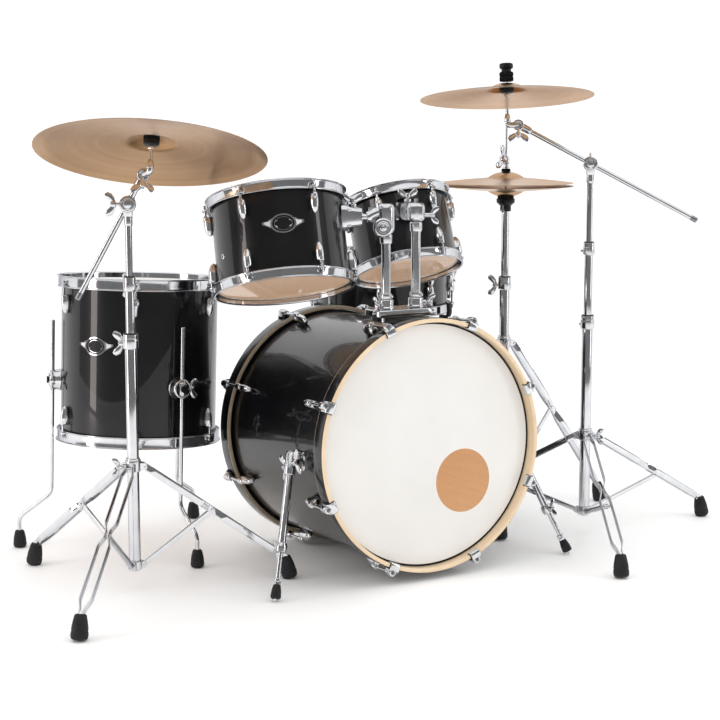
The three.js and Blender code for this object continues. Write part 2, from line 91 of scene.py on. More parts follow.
# ---------------------------------------------------------------- shapes
class Form:
    """Vertices and faces of one piece."""

    def __init__(self):
        self.verts = []
        self.faces = []

    def add(self, verts, faces, place=None):
        start = len(self.verts)
        if place is not None:
            verts = [place @ Vector(v) for v in verts]
            if place.to_3x3().determinant() < 0:
                faces = [tuple(reversed(f)) for f in faces]
        self.verts += [tuple(v) for v in verts]
        self.faces += [tuple(start + i for i in f) for f in faces]
        return self

    def put(self, other, place=None):
        return self.add(other.verts, other.faces, place)

    def skin(self, count, levels, closed=False):
        """Joins rings of `count` vertices: in a loop if closed, or else with both ends capped."""
        for level in range(levels if closed else levels - 1):
            a, b = level * count, (level + 1) % levels * count
            self.faces += [(a + k, a + (k + 1) % count, b + (k + 1) % count, b + k) for k in range(count)]
        if not closed:
            last = (levels - 1) * count
            self.faces += [tuple(reversed(range(count))), tuple(range(last, last + count))]
        return self


def fillet(points, radius, steps=3, closed=True):
    """The outline with its corners rounded. A corner keeps at most 45% of its shorter side."""
    count = len(points)
    made = []
    for i, corner in enumerate(points):
        if not closed and i in (0, count - 1):
            made.append(tuple(corner))
            continue
        p = Vector(corner)
        back = Vector(points[i - 1]) - p
        ahead = Vector(points[(i + 1) % count]) - p
        r = radius[i] if isinstance(radius, (list, tuple)) else radius
        r = min(r, back.length * 0.45, ahead.length * 0.45)
        if r < 1e-4:
            made.append(tuple(corner))
            continue
        a, b = p + back.normalized() * r, p + ahead.normalized() * r
        for k in range(steps + 1):
            t = k / steps
            made.append(tuple(a * (1 - t) ** 2 + p * (2 * t * (1 - t)) + b * t**2))
    return made


def lathe(profile, sides=64, closed=False):
    """A profile of (radius, height) points turned round Z; points on the axis become one vertex."""
    form = Form()
    rings = []
    for r, z in profile:
        if r < 1e-6:
            rings.append([len(form.verts)])
            form.verts.append((0, 0, z))
            continue
        rings.append(list(range(len(form.verts), len(form.verts) + sides)))
        for k in range(sides):
            a = 2 * math.pi * k / sides
            form.verts.append((r * math.cos(a), r * math.sin(a), z))
    pairs = list(zip(rings, rings[1:]))
    if closed:
        pairs.append((rings[-1], rings[0]))
    for low, high in pairs:
        if len(low) == 1 and len(high) == 1:
            continue
        for k in range(sides):
            n = (k + 1) % sides
            if len(low) == 1:
                form.faces.append((low[0], high[n], high[k]))
            elif len(high) == 1:
                form.faces.append((low[k], low[n], high[0]))
            else:
                form.faces.append((low[k], low[n], high[n], high[k]))
    return form


def turned(profile, rounding=0.0, sides=64, steps=3):
    """A solid of revolution from an open outline that starts and ends on the axis."""
    if rounding:
        profile = fillet(profile, rounding, steps, closed=False)
    return lathe(profile, sides)


def hollow(profile, rounding=0.0, sides=96, steps=3):
    """A ring of revolution from a closed outline."""
    if rounding:
        profile = fillet(profile, rounding, steps)
    return lathe(profile, sides, closed=True)


def frames_along(path, hint=None):
    """(point, across, up) at each point of a path, turning as little as possible."""
    points = [Vector(p) for p in path]
    made = []
    up = None
    for i, p in enumerate(points):
        ahead = points[min(i + 1, len(points) - 1)] - p
        behind = p - points[max(i - 1, 0)]
        t = (ahead.normalized() + behind.normalized()).normalized()
        if up is None:
            up = Vector(hint) if hint is not None else (UP if abs(t.z) < 0.9 else Vector((1, 0, 0)))
        up = (up - t * up.dot(t)).normalized()
        made.append((p, up.cross(t).normalized(), up))
    return made


def sweep(section, path, hint=None, scales=None):
    """A closed section of (across, up) points carried along a path."""
    form = Form()
    stations = frames_along(path, hint)
    for i, (p, across, up) in enumerate(stations):
        s = scales[i] if scales else 1.0
        form.verts += [tuple(p + across * (x * s) + up * (y * s)) for x, y in section]
    return form.skin(len(section), len(stations))


def circle(radius, sides=20, squash=1.0):
    """The points of a circle, or of an oval where `squash` isn't 1."""
    turn = [2 * math.pi * k / sides for k in range(sides)]
    return [(radius * math.cos(a), radius * squash * math.sin(a)) for a in turn]


def rounded_box(width, height, corner, steps=3):
    x, y = width / 2, height / 2
    return fillet([(-x, -y), (x, -y), (x, y), (-x, y)], corner, steps)


def tube(path, radius, sides=20, bend=0.0):
    """A round bar along a path, its ends eased. `bend` rounds the path's corners."""
    points = fillet(path, bend, 8, closed=False) if bend else [tuple(p) for p in path]
    ease = min(radius * 0.25, 1.2)
    start, end = Vector(points[0]), Vector(points[-1])
    first = (Vector(points[1]) - start).normalized()
    last = (Vector(points[-2]) - end).normalized()
    points = [tuple(start), tuple(start + first * ease)] + points[1:-1]
    points += [tuple(end + last * ease), tuple(end)]
    shrink = (radius - ease) / radius
    scales = [shrink] + [1.0] * (len(points) - 2) + [shrink]
    return sweep(circle(radius, sides), points, scales=scales)


def turned_between(a, b, profile, rounding=0.6, sides=32):
    """A turned piece from a to b: profile holds (share of the way, radius) pairs."""
    a, b = Vector(a), Vector(b)
    length = (b - a).length
    outline = [(0.0, profile[0][0] * length)]
    outline += [(r, t * length) for t, r in profile]
    outline += [(0.0, profile[-1][0] * length)]
    return Form().put(turned(outline, rounding, sides), pointing(a, b - a))


def collar(a, b, radius, rounding=1.2, sides=36):
    """A plain cylinder from a to b with eased rims."""
    return turned_between(a, b, [(0, radius), (1, radius)], rounding, sides)


def plate(outline, depth, rounding=0.8):
    """A flat outline in XY made `depth` thick about z = 0, with eased rims."""
    half = depth / 2
    count = len(outline)
    middle_x = sum(p[0] for p in outline) / count
    middle_y = sum(p[1] for p in outline) / count
    form = Form()
    levels = [(-half, rounding), (-half + rounding, 0.0), (half - rounding, 0.0), (half, rounding)]
    for z, inset in levels:
        for x, y in outline:
            out = Vector((x - middle_x, y - middle_y))
            size = max(out.length, 1e-6)
            scale = (size - inset) / size
            form.verts.append((middle_x + out.x * scale, middle_y + out.y * scale, z))
    return form.skin(count, len(levels))


def block(size, corner=1.5, steps=2):
    """A box with rounded edges, about the origin."""
    mesh = bmesh.new()
    bmesh.ops.create_cube(mesh, size=1.0)
    bmesh.ops.scale(mesh, vec=size, verts=mesh.verts)
    bmesh.ops.bevel(
        mesh, geom=list(mesh.edges), offset=min(corner, min(size) * 0.45), segments=steps,
        profile=0.5, affect="EDGES",
    )
    mesh.verts.ensure_lookup_table()
    form = Form().add([v.co.copy() for v in mesh.verts], [[v.index for v in f.verts] for f in mesh.faces])
    mesh.free()
    return form


def wing_bolt(at, direction, spread=None, size=1.0, shaft=12.0):
    """A die-cast wing bolt that stands out of `at`, its two ears spread along `spread`."""
    form = Form()
    form.put(turned([(0, 0), (3 * size, 0), (3 * size, shaft), (0, shaft)], 0.4, 16))
    hub = [(0, shaft), (6 * size, shaft), (5.4 * size, shaft + 9 * size), (0, shaft + 10.5 * size)]
    form.put(turned(hub, 1.2, 24))
    for side in (-1, 1):
        path = [
            (side * 2.5 * size, 0, shaft + 4.5 * size),
            (side * 8.5 * size, 0, shaft + 6.5 * size),
            (side * 14 * size, 0, shaft + 11 * size),
            (side * 17 * size, 0, shaft + 16 * size),
            (side * 17.6 * size, 0, shaft + 19.5 * size),
        ]
        section = circle(6.6 * size, 14, 0.42)
        form.put(sweep(section, path, hint=(0, 1, 0), scales=[0.62, 0.82, 1.0, 0.86, 0.34]))
    return Form().put(form, pointing(at, direction, hint=spread or Vector((0.861, -0.509, 0.02))))


# ---------------------------------------------------------------- materials
class Shader:
    """A material whose Principled shader is fed by a few texture nodes."""

    def __init__(self, name, color, roughness, metallic=0.0, **fixed):
        self.material = bpy.data.materials.new(name)
        self.material.use_nodes = True
        self.nodes = self.material.node_tree.nodes
        self.links = self.material.node_tree.links
        self.shader = self.nodes["Principled BSDF"]
        self.set("Base Color", (*color, 1.0))
        self.set("Roughness", roughness)
        self.set("Metallic", metallic)
        for key, value in fixed.items():
            self.set(key.replace("_", " "), value)

    def set(self, socket, value):
        self.shader.inputs[socket].default_value = value

    def coordinates(self, scale=(1, 1, 1)):
        place = self.nodes.new("ShaderNodeTexCoord")
        mapping = self.nodes.new("ShaderNodeMapping")
        mapping.inputs["Scale"].default_value = scale
        self.links.new(place.outputs["Object"], mapping.inputs["Vector"])
        return mapping.outputs["Vector"]

    def noise(self, scale, detail=4.0, roughness=0.55, stretch=(1, 1, 1), vector=None):
        node = self.nodes.new("ShaderNodeTexNoise")
        node.inputs["Scale"].default_value = scale
        node.inputs["Detail"].default_value = detail
        node.inputs["Roughness"].default_value = roughness
        self.links.new(vector or self.coordinates(stretch), node.inputs["Vector"])
        return node.outputs["Fac"]

    def ramp(self, source, stops):
        node = self.nodes.new("ShaderNodeValToRGB")
        ramp = node.color_ramp
        while len(ramp.elements) < len(stops):
            ramp.elements.new(0.5)
        for element, (at, color) in zip(ramp.elements, stops):
            element.position = at
            element.color = (*color, 1.0)
        self.links.new(source, node.inputs["Fac"])
        return node.outputs["Color"]

    def span(self, source, low, high, start=0.0, end=1.0):
        node = self.nodes.new("ShaderNodeMapRange")
        for key, value in (("From Min", start), ("From Max", end), ("To Min", low), ("To Max", high)):
            node.inputs[key].default_value = value
        self.links.new(source, node.inputs["Value"])
        return node.outputs["Result"]

    def math(self, operation, a, b=None):
        node = self.nodes.new("ShaderNodeMath")
        node.operation = operation
        for socket, value in zip(node.inputs, (a, b)):
            if value is None:
                continue
            if isinstance(value, (int, float)):
                socket.default_value = value
            else:
                self.links.new(value, socket)
        return node.outputs[0]

    def feed(self, socket, source):
        self.links.new(source, self.shader.inputs[socket])

    def bump(self, source, strength, distance):
        node = self.nodes.new("ShaderNodeBump")
        node.inputs["Strength"].default_value = strength
        node.inputs["Distance"].default_value = distance
        self.links.new(source, node.inputs["Height"])
        previous = self.shader.inputs["Normal"].links
        if previous:
            self.links.new(previous[0].from_socket, node.inputs["Normal"])
        self.links.new(node.outputs["Normal"], self.shader.inputs["Normal"])

    def radius(self):
        """Distance from the piece's own Z axis, in metres."""
        place = self.nodes.new("ShaderNodeTexCoord")
        split = self.nodes.new("ShaderNodeSeparateXYZ")
        self.links.new(place.outputs["Object"], split.inputs[0])
        x = self.math("POWER", split.outputs["X"], 2.0)
        y = self.math("POWER", split.outputs["Y"], 2.0)
        return self.math("SQRT", self.math("ADD", x, y))


def surface(name, color, roughness, metallic=0.0, tone=None, haze=None, bumps=(), **fixed):
    """A plain material. `tone` is a noise and its colour stops, `haze` a noise and the roughness range,
    and each of `bumps` a noise, a strength and a distance."""
    s = Shader(name, color, roughness, metallic, **fixed)
    if tone:
        s.feed("Base Color", s.ramp(s.noise(*tone[0]), tone[1:]))
    if haze:
        s.feed("Roughness", s.span(s.noise(*haze[0]), *haze[1:]))
    for noise, strength, distance in bumps:
        s.bump(s.noise(*noise), strength, distance)
    return s.material


def wood(name, light, dark, roughness, stretch, coat=0.35, painted_emission=0.0):
    """Straight-grained maple: fine pores along the grain over slow changes of tone."""
    s = Shader(name, light, roughness, Coat_Weight=coat, Coat_Roughness=0.18)
    grain = s.noise(38, 8, 0.62, stretch)
    slow = s.noise(5, 3, 0.5, stretch)
    mixed = s.math("ADD", s.math("MULTIPLY", grain, 0.55), s.math("MULTIPLY", slow, 0.45))
    s.feed("Base Color", s.ramp(mixed, [(0.36, dark), (0.62, light)]))
    s.feed("Roughness", s.span(grain, roughness - 0.07, roughness + 0.1))
    s.bump(grain, 0.12, 0.0006)
    # any emission here is painted light: the wood glows in its own light tone
    if painted_emission:
        s.set("Emission Color", (*light, 1.0))
        s.set("Emission Strength", painted_emission)
    return s.material


def bronze():
    """Lathed bell bronze: fine tone grooves, broad rings and soft hammer marks under a radial sheen."""
    s = Shader("bell_bronze", (0.56, 0.37, 0.21), 0.32, 1.0, Anisotropic=0.75)
    radius = s.radius()
    along = s.nodes.new("ShaderNodeCombineXYZ")
    s.links.new(radius, along.inputs["X"])
    grooves = s.noise(260, 4, 0.62, vector=along.outputs[0])
    broad = s.noise(48, 3, 0.5, vector=along.outputs[0])
    rings = s.math("ADD", s.math("MULTIPLY", broad, 0.3), s.math("MULTIPLY", grooves, 0.3))
    tone = s.math("ADD", rings, s.math("MULTIPLY", s.noise(4, 2, 0.4), 0.4))
    stops = [(0.36, (0.40, 0.225, 0.105)), (0.5, (0.50, 0.30, 0.155)), (0.64, (0.60, 0.39, 0.22))]
    s.feed("Base Color", s.ramp(tone, stops))
    s.feed("Roughness", s.span(s.math("ADD", grooves, s.noise(60, 3)), 0.22, 0.40, 0.0, 2.0))
    tangent = s.nodes.new("ShaderNodeTangent")
    tangent.direction_type = "RADIAL"
    tangent.axis = "Z"
    s.links.new(tangent.outputs["Tangent"], s.shader.inputs["Tangent"])
    s.bump(grooves, 0.2, 0.0004)
    s.bump(s.noise(38, 2), 0.16, 0.0008)
    return s.material


HARD_LIGHT = (0.50, 0.51, 0.54, 1.0)
ALONG_Z, ALONG_Y = (1, 1, 14), (1, 14, 1)
BRUSHED = (1, 1, 24)

# Each look's material and the slot of the record that it fills.
LOOKS = {
    # black lacquer: a broad soft sheen below a thin hard gloss, with a faint orange peel
    "lacquer": (
        surface(
            "black_lacquer", (0.003, 0.003, 0.0035), 0.3,
            tone=((9, 3), (0.3, (0.002, 0.002, 0.0028)), (0.75, (0.0048, 0.0046, 0.006))),
            haze=((34, 5), 0.26, 0.36), bumps=[((260, 2), 0.03, 0.0004)],
            Coat_Weight=0.62, Coat_Roughness=0.02, Specular_IOR_Level=0.2,
        ),
        "black_shell",
    ),
    "maple": (wood("maple_hoop_edge", (0.77, 0.60, 0.41), (0.67, 0.50, 0.32), 0.38, ALONG_Z), "maple_hoop"),
    # the rear hoop's bare maple, darker than the front hoop's: painted shade, the same wood coloured as if in
    # shadow
    "maple_painted_shade": (
        wood("maple_hoop_rear_painted_shade", (0.36, 0.28, 0.20), (0.26, 0.20, 0.14), 0.42, ALONG_Z, 0.2),
        "maple_hoop",
    ),
    # the inside maple: its grain and tone are the wood's own, and its faint emission is painted light, a glow
    # where the shell's inside sits in shade
    "maple_inside_painted_light": (
        wood("maple_inside_painted_light", (0.70, 0.48, 0.29), (0.60, 0.40, 0.23), 0.5, ALONG_Y, 0.1, 0.42),
        "maple_hoop",
    ),
    # white coated polyester: a fine sprayed texture, slightly uneven in tone
    "coated": (
        surface(
            "coated_film", (0.73, 0.71, 0.68), 0.55,
            tone=((4, 3), (0.3, (0.70, 0.685, 0.66)), (0.7, (0.76, 0.745, 0.72))),
            haze=((120, 4), 0.48, 0.66), bumps=[((1300, 2), 0.10, 0.0003), ((14, 2), 0.05, 0.002)],
        ),
        "coated_head",
    ),
    "clear": (
        surface(
            "clear_film", (0.80, 0.79, 0.76), 0.06, haze=((20, 3), 0.04, 0.12), bumps=[((9, 2), 0.12, 0.002)],
            Alpha=0.30, Coat_Weight=0.6, Coat_Roughness=0.03,
        ),
        "clear_head",
    ),
    # polished chrome with faint handling haze and waviness
    "chrome": (
        surface(
            "chrome", (0.66, 0.67, 0.69), 0.07, 1.0,
            tone=((25, 4), (0.3, (0.66, 0.67, 0.695)), (0.7, (0.76, 0.765, 0.78))),
            haze=((70, 6, 0.7), 0.045, 0.13), bumps=[((45, 2), 0.035, 0.0012)], Specular_Tint=HARD_LIGHT,
        ),
        "chrome_hardware",
    ),
    # die-cast chrome: softer, with the slight ripple of a casting
    "cast": (
        surface(
            "cast_chrome", (0.66, 0.67, 0.69), 0.13, 1.0,
            tone=((40, 4), (0.3, (0.65, 0.66, 0.68)), (0.7, (0.76, 0.765, 0.78))),
            haze=((90, 6, 0.7), 0.09, 0.21), bumps=[((110, 3), 0.08, 0.0012)], Specular_Tint=HARD_LIGHT,
        ),
        "chrome_hardware",
    ),
    # brushed silver, light at every angle, with fine level scratches
    "satin": (
        surface(
            "satin_silver", (0.72, 0.72, 0.73), 0.42, 0.35,
            tone=((120, 4), (0.3, (0.62, 0.62, 0.63)), (0.7, (0.80, 0.80, 0.81))),
            haze=((300, 3, 0.6, BRUSHED), 0.34, 0.5), bumps=[((500, 2, 0.5, BRUSHED), 0.1, 0.0002)],
        ),
        "chrome_hardware",
    ),
    "steel": (
        surface(
            "dark_steel", (0.30, 0.31, 0.33), 0.28, 1.0, haze=((160, 5), 0.2, 0.4),
            bumps=[((300, 3), 0.1, 0.0003)],
        ),
        "chrome_hardware",
    ),
    "bronze": (bronze(), "cymbal_bronze"),
    "rubber": (
        surface(
            "black_rubber", (0.012, 0.012, 0.013), 0.62,
            tone=((30, 5), (0.3, (0.008, 0.008, 0.009)), (0.8, (0.020, 0.020, 0.021))),
            haze=((80, 4), 0.5, 0.8), bumps=[((600, 3), 0.25, 0.0004)], Specular_IOR_Level=0.3,
        ),
        "black_hoop",
    ),
    "felt": (
        surface(
            "black_felt", (0.006, 0.006, 0.0065), 0.95,
            tone=((240, 6), (0.3, (0.003, 0.003, 0.0035)), (0.8, (0.014, 0.014, 0.015))),
            bumps=[((1100, 4), 0.8, 0.0008)], Specular_IOR_Level=0.15,
        ),
        "black_hoop",
    ),
    "plastic": (
        surface(
            "black_nylon", (0.006, 0.006, 0.0066), 0.36, haze=((120, 4), 0.28, 0.46),
            bumps=[((420, 2), 0.1, 0.0003)], Specular_IOR_Level=0.25,
        ),
        "black_hoop",
    ),
}


SHARP_ANGLE = math.radians(38)


def linked(name, data):
    """A new object in the scene."""
    obj = bpy.data.objects.new(name, data)
    bpy.context.scene.collection.objects.link(obj)
    return obj


def piece(name, look, body, form, place=None, replaces=()):
    """Makes one shown piece that rides a body. With `place`, the form is in that place's own axes."""
    mesh = bpy.data.meshes.new(name)
    origin = SHIFT if place is None else Vector((0, 0, 0))
    mesh.from_pydata([tuple((Vector(v) + origin) / 1000) for v in form.verts], [], form.faces)
    mesh.validate()
    work = bmesh.new()
    work.from_mesh(mesh)
    bmesh.ops.remove_doubles(work, verts=work.verts, dist=1e-6)
    bmesh.ops.recalc_face_normals(work, faces=work.faces)
    work.to_mesh(mesh)
    work.free()
    mesh.polygons.foreach_set("use_smooth", [True] * len(mesh.polygons))
    mesh.set_sharp_from_angle(angle=SHARP_ANGLE)
    obj = linked(name, mesh)
    if place is not None:
        moved = place.copy()
        moved.translation = (place.translation + SHIFT) / 1000
        obj.matrix_world = moved
    material, slot = LOOKS[look]
    mesh.materials.append(material)
    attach(obj, body)
    if replaces:
        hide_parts(*replaces)
    return obj


# ---------------------------------------------------------------- drums
def polar(radius, degrees, z=0.0):
    """The point at a radius and a bearing round Z."""
    a = math.radians(degrees)
    return Vector((radius * math.cos(a), radius * math.sin(a), z))


MIRROR = Matrix.Diagonal((1, 1, -1, 1))


def both_ends(form):
    """The form, and its mirror image at the drum's other end."""
    return Form().put(form).put(form, MIRROR)


def ply_shell(drum, body):
    """A lacquered outer ply over a maple shell with cut bearing edges."""
    r, e = drum.radius, drum.edge
    skin = hollow([(r, -e + 1.5), (r, e - 1.5), (r - 1.0, e - 0.6), (r - 1.0, -e + 0.6)], 0, 160)
    piece(f"{drum.name}_shell_lacquer", "lacquer", body, skin, drum.place, [f"{drum.name}_shell"])
    half = [(r - 7.5, e - 4.5), (r - 3.2, e), (r - 1.1, e - 0.8)]
    ply = [(x, -z) for x, z in reversed(half)] + half
    # the inside ply takes the glowing maple: painted light inside the shell
    piece(f"{drum.name}_shell_ply", "maple_inside_painted_light", body, hollow(ply, 0.5, 128), drum.place)


def head_form(drum):
    """A film drawn over the bearing edge and down to its flesh hoop."""
    r, e = drum.radius, drum.edge
    top = [(0, e + 0.9), (r - 9, e + 0.9), (r - 2, e + 0.7), (r + 2.0, e - 1.2), (r + 3.2, e - 6.5)]
    under = [(r + 2.6, e - 6.5), (r + 1.5, e - 1.5), (r - 2, e + 0.25), (r - 9, e + 0.4), (0, e + 0.4)]
    film = turned(top + under, 0, 128)
    bead = hollow([(r + 1.4, e - 10.5), (r + 5.2, e - 10.5), (r + 5.2, e - 6), (r + 1.4, e - 6)], 1.2, 96)
    return film, bead


def hoop_form(drum):
    """A triple-flanged steel hoop with an ear at each lug."""
    e, rim = drum.edge, drum.rim
    wall = drum.radius + 6.0
    outline = [
        (wall, e - 4.5), (wall - 2.6, e - 6.0), (wall - 2.6, e - 8.4), (wall + 0.4, e - 9.2),
        (wall + 0.4, e - 13.2), (wall + 4.6, e - 13.2), (wall + 4.6, e - 11.0), (wall + 2.6, e - 10.2),
        (wall + 2.6, e - 5.5), (wall + 2.3, e + rim - 3.4), (wall + 6.4, e + rim - 1.8),
        (wall + 6.6, e + rim), (wall + 1.8, e + rim), (wall, e + rim - 2.2),
    ]
    form = hollow(outline, 0.9, 160)
    ear = fillet([(-13, -5), (13, -5), (11, 4), (6.5, 9.2), (-6.5, 9.2), (-11, 4)], 2.5)
    web = fillet([(-14, -7), (14, -7), (9, 6), (-9, 6)], 3.0)
    for degrees in drum.lugs:
        out = polar(1, degrees)
        side = UP.cross(out)
        form.put(plate(ear, 3.4), pointing(polar(wall + 5.0, degrees, e - 9.6), UP, hint=side * -1))
        form.put(plate(web, 3.0, 1.2), pointing(polar(wall + 1.8, degrees, e - 3.6), out, hint=side))
    return form


ROD_OUT = 13.2  # how far a tension rod's axis stands out of the shell
LUG_OUT = 6.0
LUG_DEPTH = 1.35


def tension_rods(drum, lug_end):
    """Square-headed rods with a washer, from the top hoop's ears down to `lug_end`."""
    form = Form()
    head = drum.edge - 7.6
    for degrees in drum.lugs:

        def on(z):
            return polar(drum.radius + ROD_OUT, degrees, z)

        form.put(collar(on(head - 0.2), on(head + 1.6), 5.6, 0.5, 24))
        form.put(collar(on(head + 1.6), on(head + 3.4), 4.6, 0.6, 24))
        form.put(block((5.4, 5.4, 8.0), 0.7), pointing(on(head + 7.2), UP, hint=polar(1, degrees)))
        form.put(tube([on(head), on(lug_end)], 2.9, 16))
    return form


LUG_OUTLINE = [
    (0, 22.6), (5.6, 22.4), (8.2, 20.6), (9.5, 15), (10, 7),
    (9.6, -2), (8.2, -11), (5.4, -19), (2.2, -23), (0, -23.6),
]


def lug_forms(drum, middle_z, stretch):
    """Teardrop lugs, their round end towards the rod, with a nut and a slot below it."""
    bodies, nuts = Form(), Form()
    body = turned([(r, z * stretch) for r, z in LUG_OUTLINE], 1.6, 40, 4)
    for degrees in drum.lugs:
        place = pointing(polar(drum.radius + LUG_OUT, degrees, middle_z), UP, hint=polar(1, degrees))
        bodies.put(body, place @ Matrix.Diagonal((LUG_DEPTH, 1, 1, 1)))
        top = polar(drum.radius + ROD_OUT, degrees, middle_z + 21 * stretch)
        bodies.put(turned_between(top - UP * 8, top + UP * 1.8, [(0, 6.6), (0.8, 6.2), (1, 5.2)], 0.8, 28))
        nuts.put(collar(top + UP * 1.2, top + UP * 3.4, 4.3, 0.5, 6))
    return bodies, nuts


OVAL = (29, 22)  # the badge's half width and half height
WING_TIP = 47.5
WING_SPAN = 33  # degrees above and below the middle that a wing takes up


def badge(drum, body, degrees, z):
    """A plain oval badge with a pointed wing at each side, bent round the shell."""
    oval = [(x, y * OVAL[1] / OVAL[0]) for x, y in circle(OVAL[0], 48)]
    winged = []
    for x, y in oval:
        steep = abs(math.degrees(math.atan2(y / OVAL[1], abs(x) / OVAL[0])))
        beyond = WING_SPAN - steep
        if beyond < 0 or abs(x) < 1:
            winged.append((x, y))
        elif abs(y) < 3:
            winged.append((math.copysign(WING_TIP, x), y + 4))
        else:
            winged.append((x * (1 + beyond * 0.0155), y * (1 + beyond * 0.004) + 1.5))

    def patch(outline, outer, inner, high):
        form = Form()
        low = -0.4
        for share, lift in ((inner, low), (inner, high), (outer, high), (outer, low)):
            for x, y in outline:
                turn = math.degrees(x * share / drum.radius)
                form.verts.append(tuple(polar(drum.radius + lift, degrees + turn, z + y * share)))
        return form.skin(len(outline), 4, closed=True)

    rim = patch(winged, 1.0, 0.9, 2.0).put(patch(oval, 1.0, 0.86, 2.6)).put(patch(oval, 0.70, 0.66, 1.7))
    piece(f"{drum.name}_badge_rim", "chrome", body, rim, drum.place)
    piece(f"{drum.name}_badge_wings", "satin", body, patch(winged, 0.92, 0.55, 1.0), drum.place)
    piece(f"{drum.name}_badge_field", "plastic", body, patch(oval, 0.90, 0.02, 1.3), drum.place)


VENT_R = 6.5


def vent(drum, body, degrees, z):
    """A chrome air-vent ring, with a black disc inside it that stands for the dark of the hole: painted
    shade.
    """
    r = VENT_R
    place = pointing(polar(drum.radius - 1, degrees, z), polar(1, degrees))
    ring = hollow([(r * 0.5, 0), (r, 0), (r, 1.8), (r * 0.7, 2.8), (r * 0.5, 2.2)], 0.6, 40)
    piece(f"{drum.name}_vent", "chrome", body, Form().put(ring, place), drum.place)
    # a black disc where the hole would be: painted shade, not a part of the drum
    bore = turned([(0, 0), (r * 0.52, 0), (r * 0.52, 1.5), (0, 1.5)], 0, 24)
    piece(f"{drum.name}_vent_bore", "plastic", body, Form().put(bore, place), drum.place)


def string_drum(drum, body, lug_inset, rod_reach=20, stretch=1.0, badge_at=None, vent_at=None):
    """Shell, heads, hoops, lugs and tension rods of one tom or snare drum."""
    ply_shell(drum, body)
    film, bead = head_form(drum)
    hoop = hoop_form(drum)
    lugs, nuts = lug_forms(drum, drum.edge - lug_inset, stretch)
    rods = tension_rods(drum, drum.edge - lug_inset + rod_reach)
    parts = (
        ("batter_film", "coated", film, "batter_head"),
        ("bottom_film", "clear", Form().put(film, MIRROR), "bottom_head"),
        ("flesh_hoops", "steel", both_ends(bead), None),
        ("top_hoop", "chrome", hoop, "batter_hoop"),
        ("low_hoop", "chrome", Form().put(hoop, MIRROR), "bottom_hoop"),
        ("lugs", "cast", both_ends(lugs), None),
        ("lug_nuts", "steel", both_ends(nuts), None),
        ("tension_rods", "chrome", both_ends(rods), None),
    )
    for part, look, form, node in parts:
        nodes = [f"{drum.name}_{node}"] if node else []
        piece(f"{drum.name}_{part}", look, body, form, drum.place, nodes)
    if badge_at:
        badge(drum, body, *badge_at)
    if vent_at:
        vent(drum, body, *vent_at)


TOM_12 = Drum("tom_12", 6 * INCH, 8 * INCH, 11, (-258, 270, 771), (0.055, 0.299, 0.953), 6, 213.6)
TOM_10 = Drum("tom_10", 5 * INCH, 7 * INCH, 11, (178, 438, 765), (0.03, 0.375, 0.926), 6, 279.0)
FLOOR_TOM = Drum("floor_tom", 7.5 * INCH, 374, 15, FLOOR_TOM_AT, (0.047, 0.03, 0.998), 6, 183.8)
SNARE = Drum("snare", 7 * INCH, 5.5 * INCH, 12, SNARE_AT, (0, 0, 1), 8, 12.0)

string_drum(TOM_12, "tom_12", 46, badge_at=(246, 12), vent_at=(182, -34))
string_drum(TOM_10, "tom_10", 44, vent_at=(250, -30))
string_drum(FLOOR_TOM, "kit_base", 52, badge_at=(213.8, 40))
string_drum(SNARE, "snare_drum", SNARE.edge - 12, 12, 0.72, vent_at=(34, 0))


def snare_fittings():
    """The wires under the snare drum, its strainer with the throw-off lever, and the butt plate."""
    drum, body = SNARE, "snare_drum"
    wires = Form()
    low = -drum.edge - 2.6
    for i in range(20):
        x = (i - 9.5) * 2.1
        wires.put(tube([(x, -150, low), (x, 150, low)], 0.7, 6))
    for side in (-1, 1):
        wires.put(block((46, 12, 1.6), 0.5), Matrix.Translation((0, side * 154, low)))
        wires.put(block((22, 30, 0.6), 0.2), Matrix.Translation((0, side * 172, low)))
    piece("snare_wires", "steel", body, wires, drum.place @ Matrix.Rotation(math.radians(70), 4, "Z"))

    def on(r, z):
        return polar(drum.radius + r, -20, z)

    out = polar(1, -20)
    strainer = Form()
    place = pointing(on(0, -10), out, hint=UP)
    strainer.put(block((64, 30, 7), 2.5), place @ Matrix.Translation((0, 0, 3.5)))
    strainer.put(block((40, 24, 12), 3), place @ Matrix.Translation((-16, 0, 12)))
    strainer.put(collar(on(12, -40), on(12, -52), 7, 1))
    piece("snare_strainer_body", "cast", body, strainer, drum.place)
    butt = pointing(polar(drum.radius, 160, -22), polar(1, 160), hint=UP) @ Matrix.Translation((0, 0, 5.5))
    piece("snare_butt_plate", "cast", body, Form().put(block((42, 34, 11), 3), butt), drum.place)
    pin, tip = on(20, -4), on(31, 44)
    side = UP.cross(out)
    blade = [pin, pin.lerp(tip, 0.5) + out * 2, tip]
    lever = collar(pin - side * 12, pin + side * 12, 6, 1)
    lever.put(sweep(rounded_box(15, 4.5, 1.5), blade, hint=out, scales=[0.8, 1, 0.9]))
    piece("snare_lever", "cast", "snare_throw_off", lever, drum.place, ["snare_throw_off"])


snare_fittings()

# ---------------------------------------------------------------- bass drum
BASS_LENGTH = 18 * INCH
BASS_LIP = 28.0
BASS_DEPTH = BASS_LENGTH + 2 * BASS_LIP
HOOP_R = 295.0
HOOP_WALL = 10.0
HOOP_WIDTH = 40.0
BASS_TILT = math.atan2(18.0, BASS_DEPTH)
PORT_AT = (97.0, -94.0)
PORT_R = 75.0
FRONT = Matrix.Identity(4)
CLAW_ANGLES = [22.5 + 45 * k for k in range(8)]

# The bass drum's own axes: X to the right, Y up and Z to the front.
BASS_PLACE = (
    Matrix.Translation((0, BASS_DEPTH, 0))
    @ Matrix.Rotation(-BASS_TILT, 4, "X")
    @ Matrix.Translation((0, -BASS_DEPTH / 2, HOOP_R))
    @ Matrix.Rotation(math.pi / 2, 4, "X")
)


class Bass:
    name = "bass"
    radius = 11 * INCH
    edge = BASS_LENGTH / 2
    lugs = CLAW_ANGLES
    place = BASS_PLACE


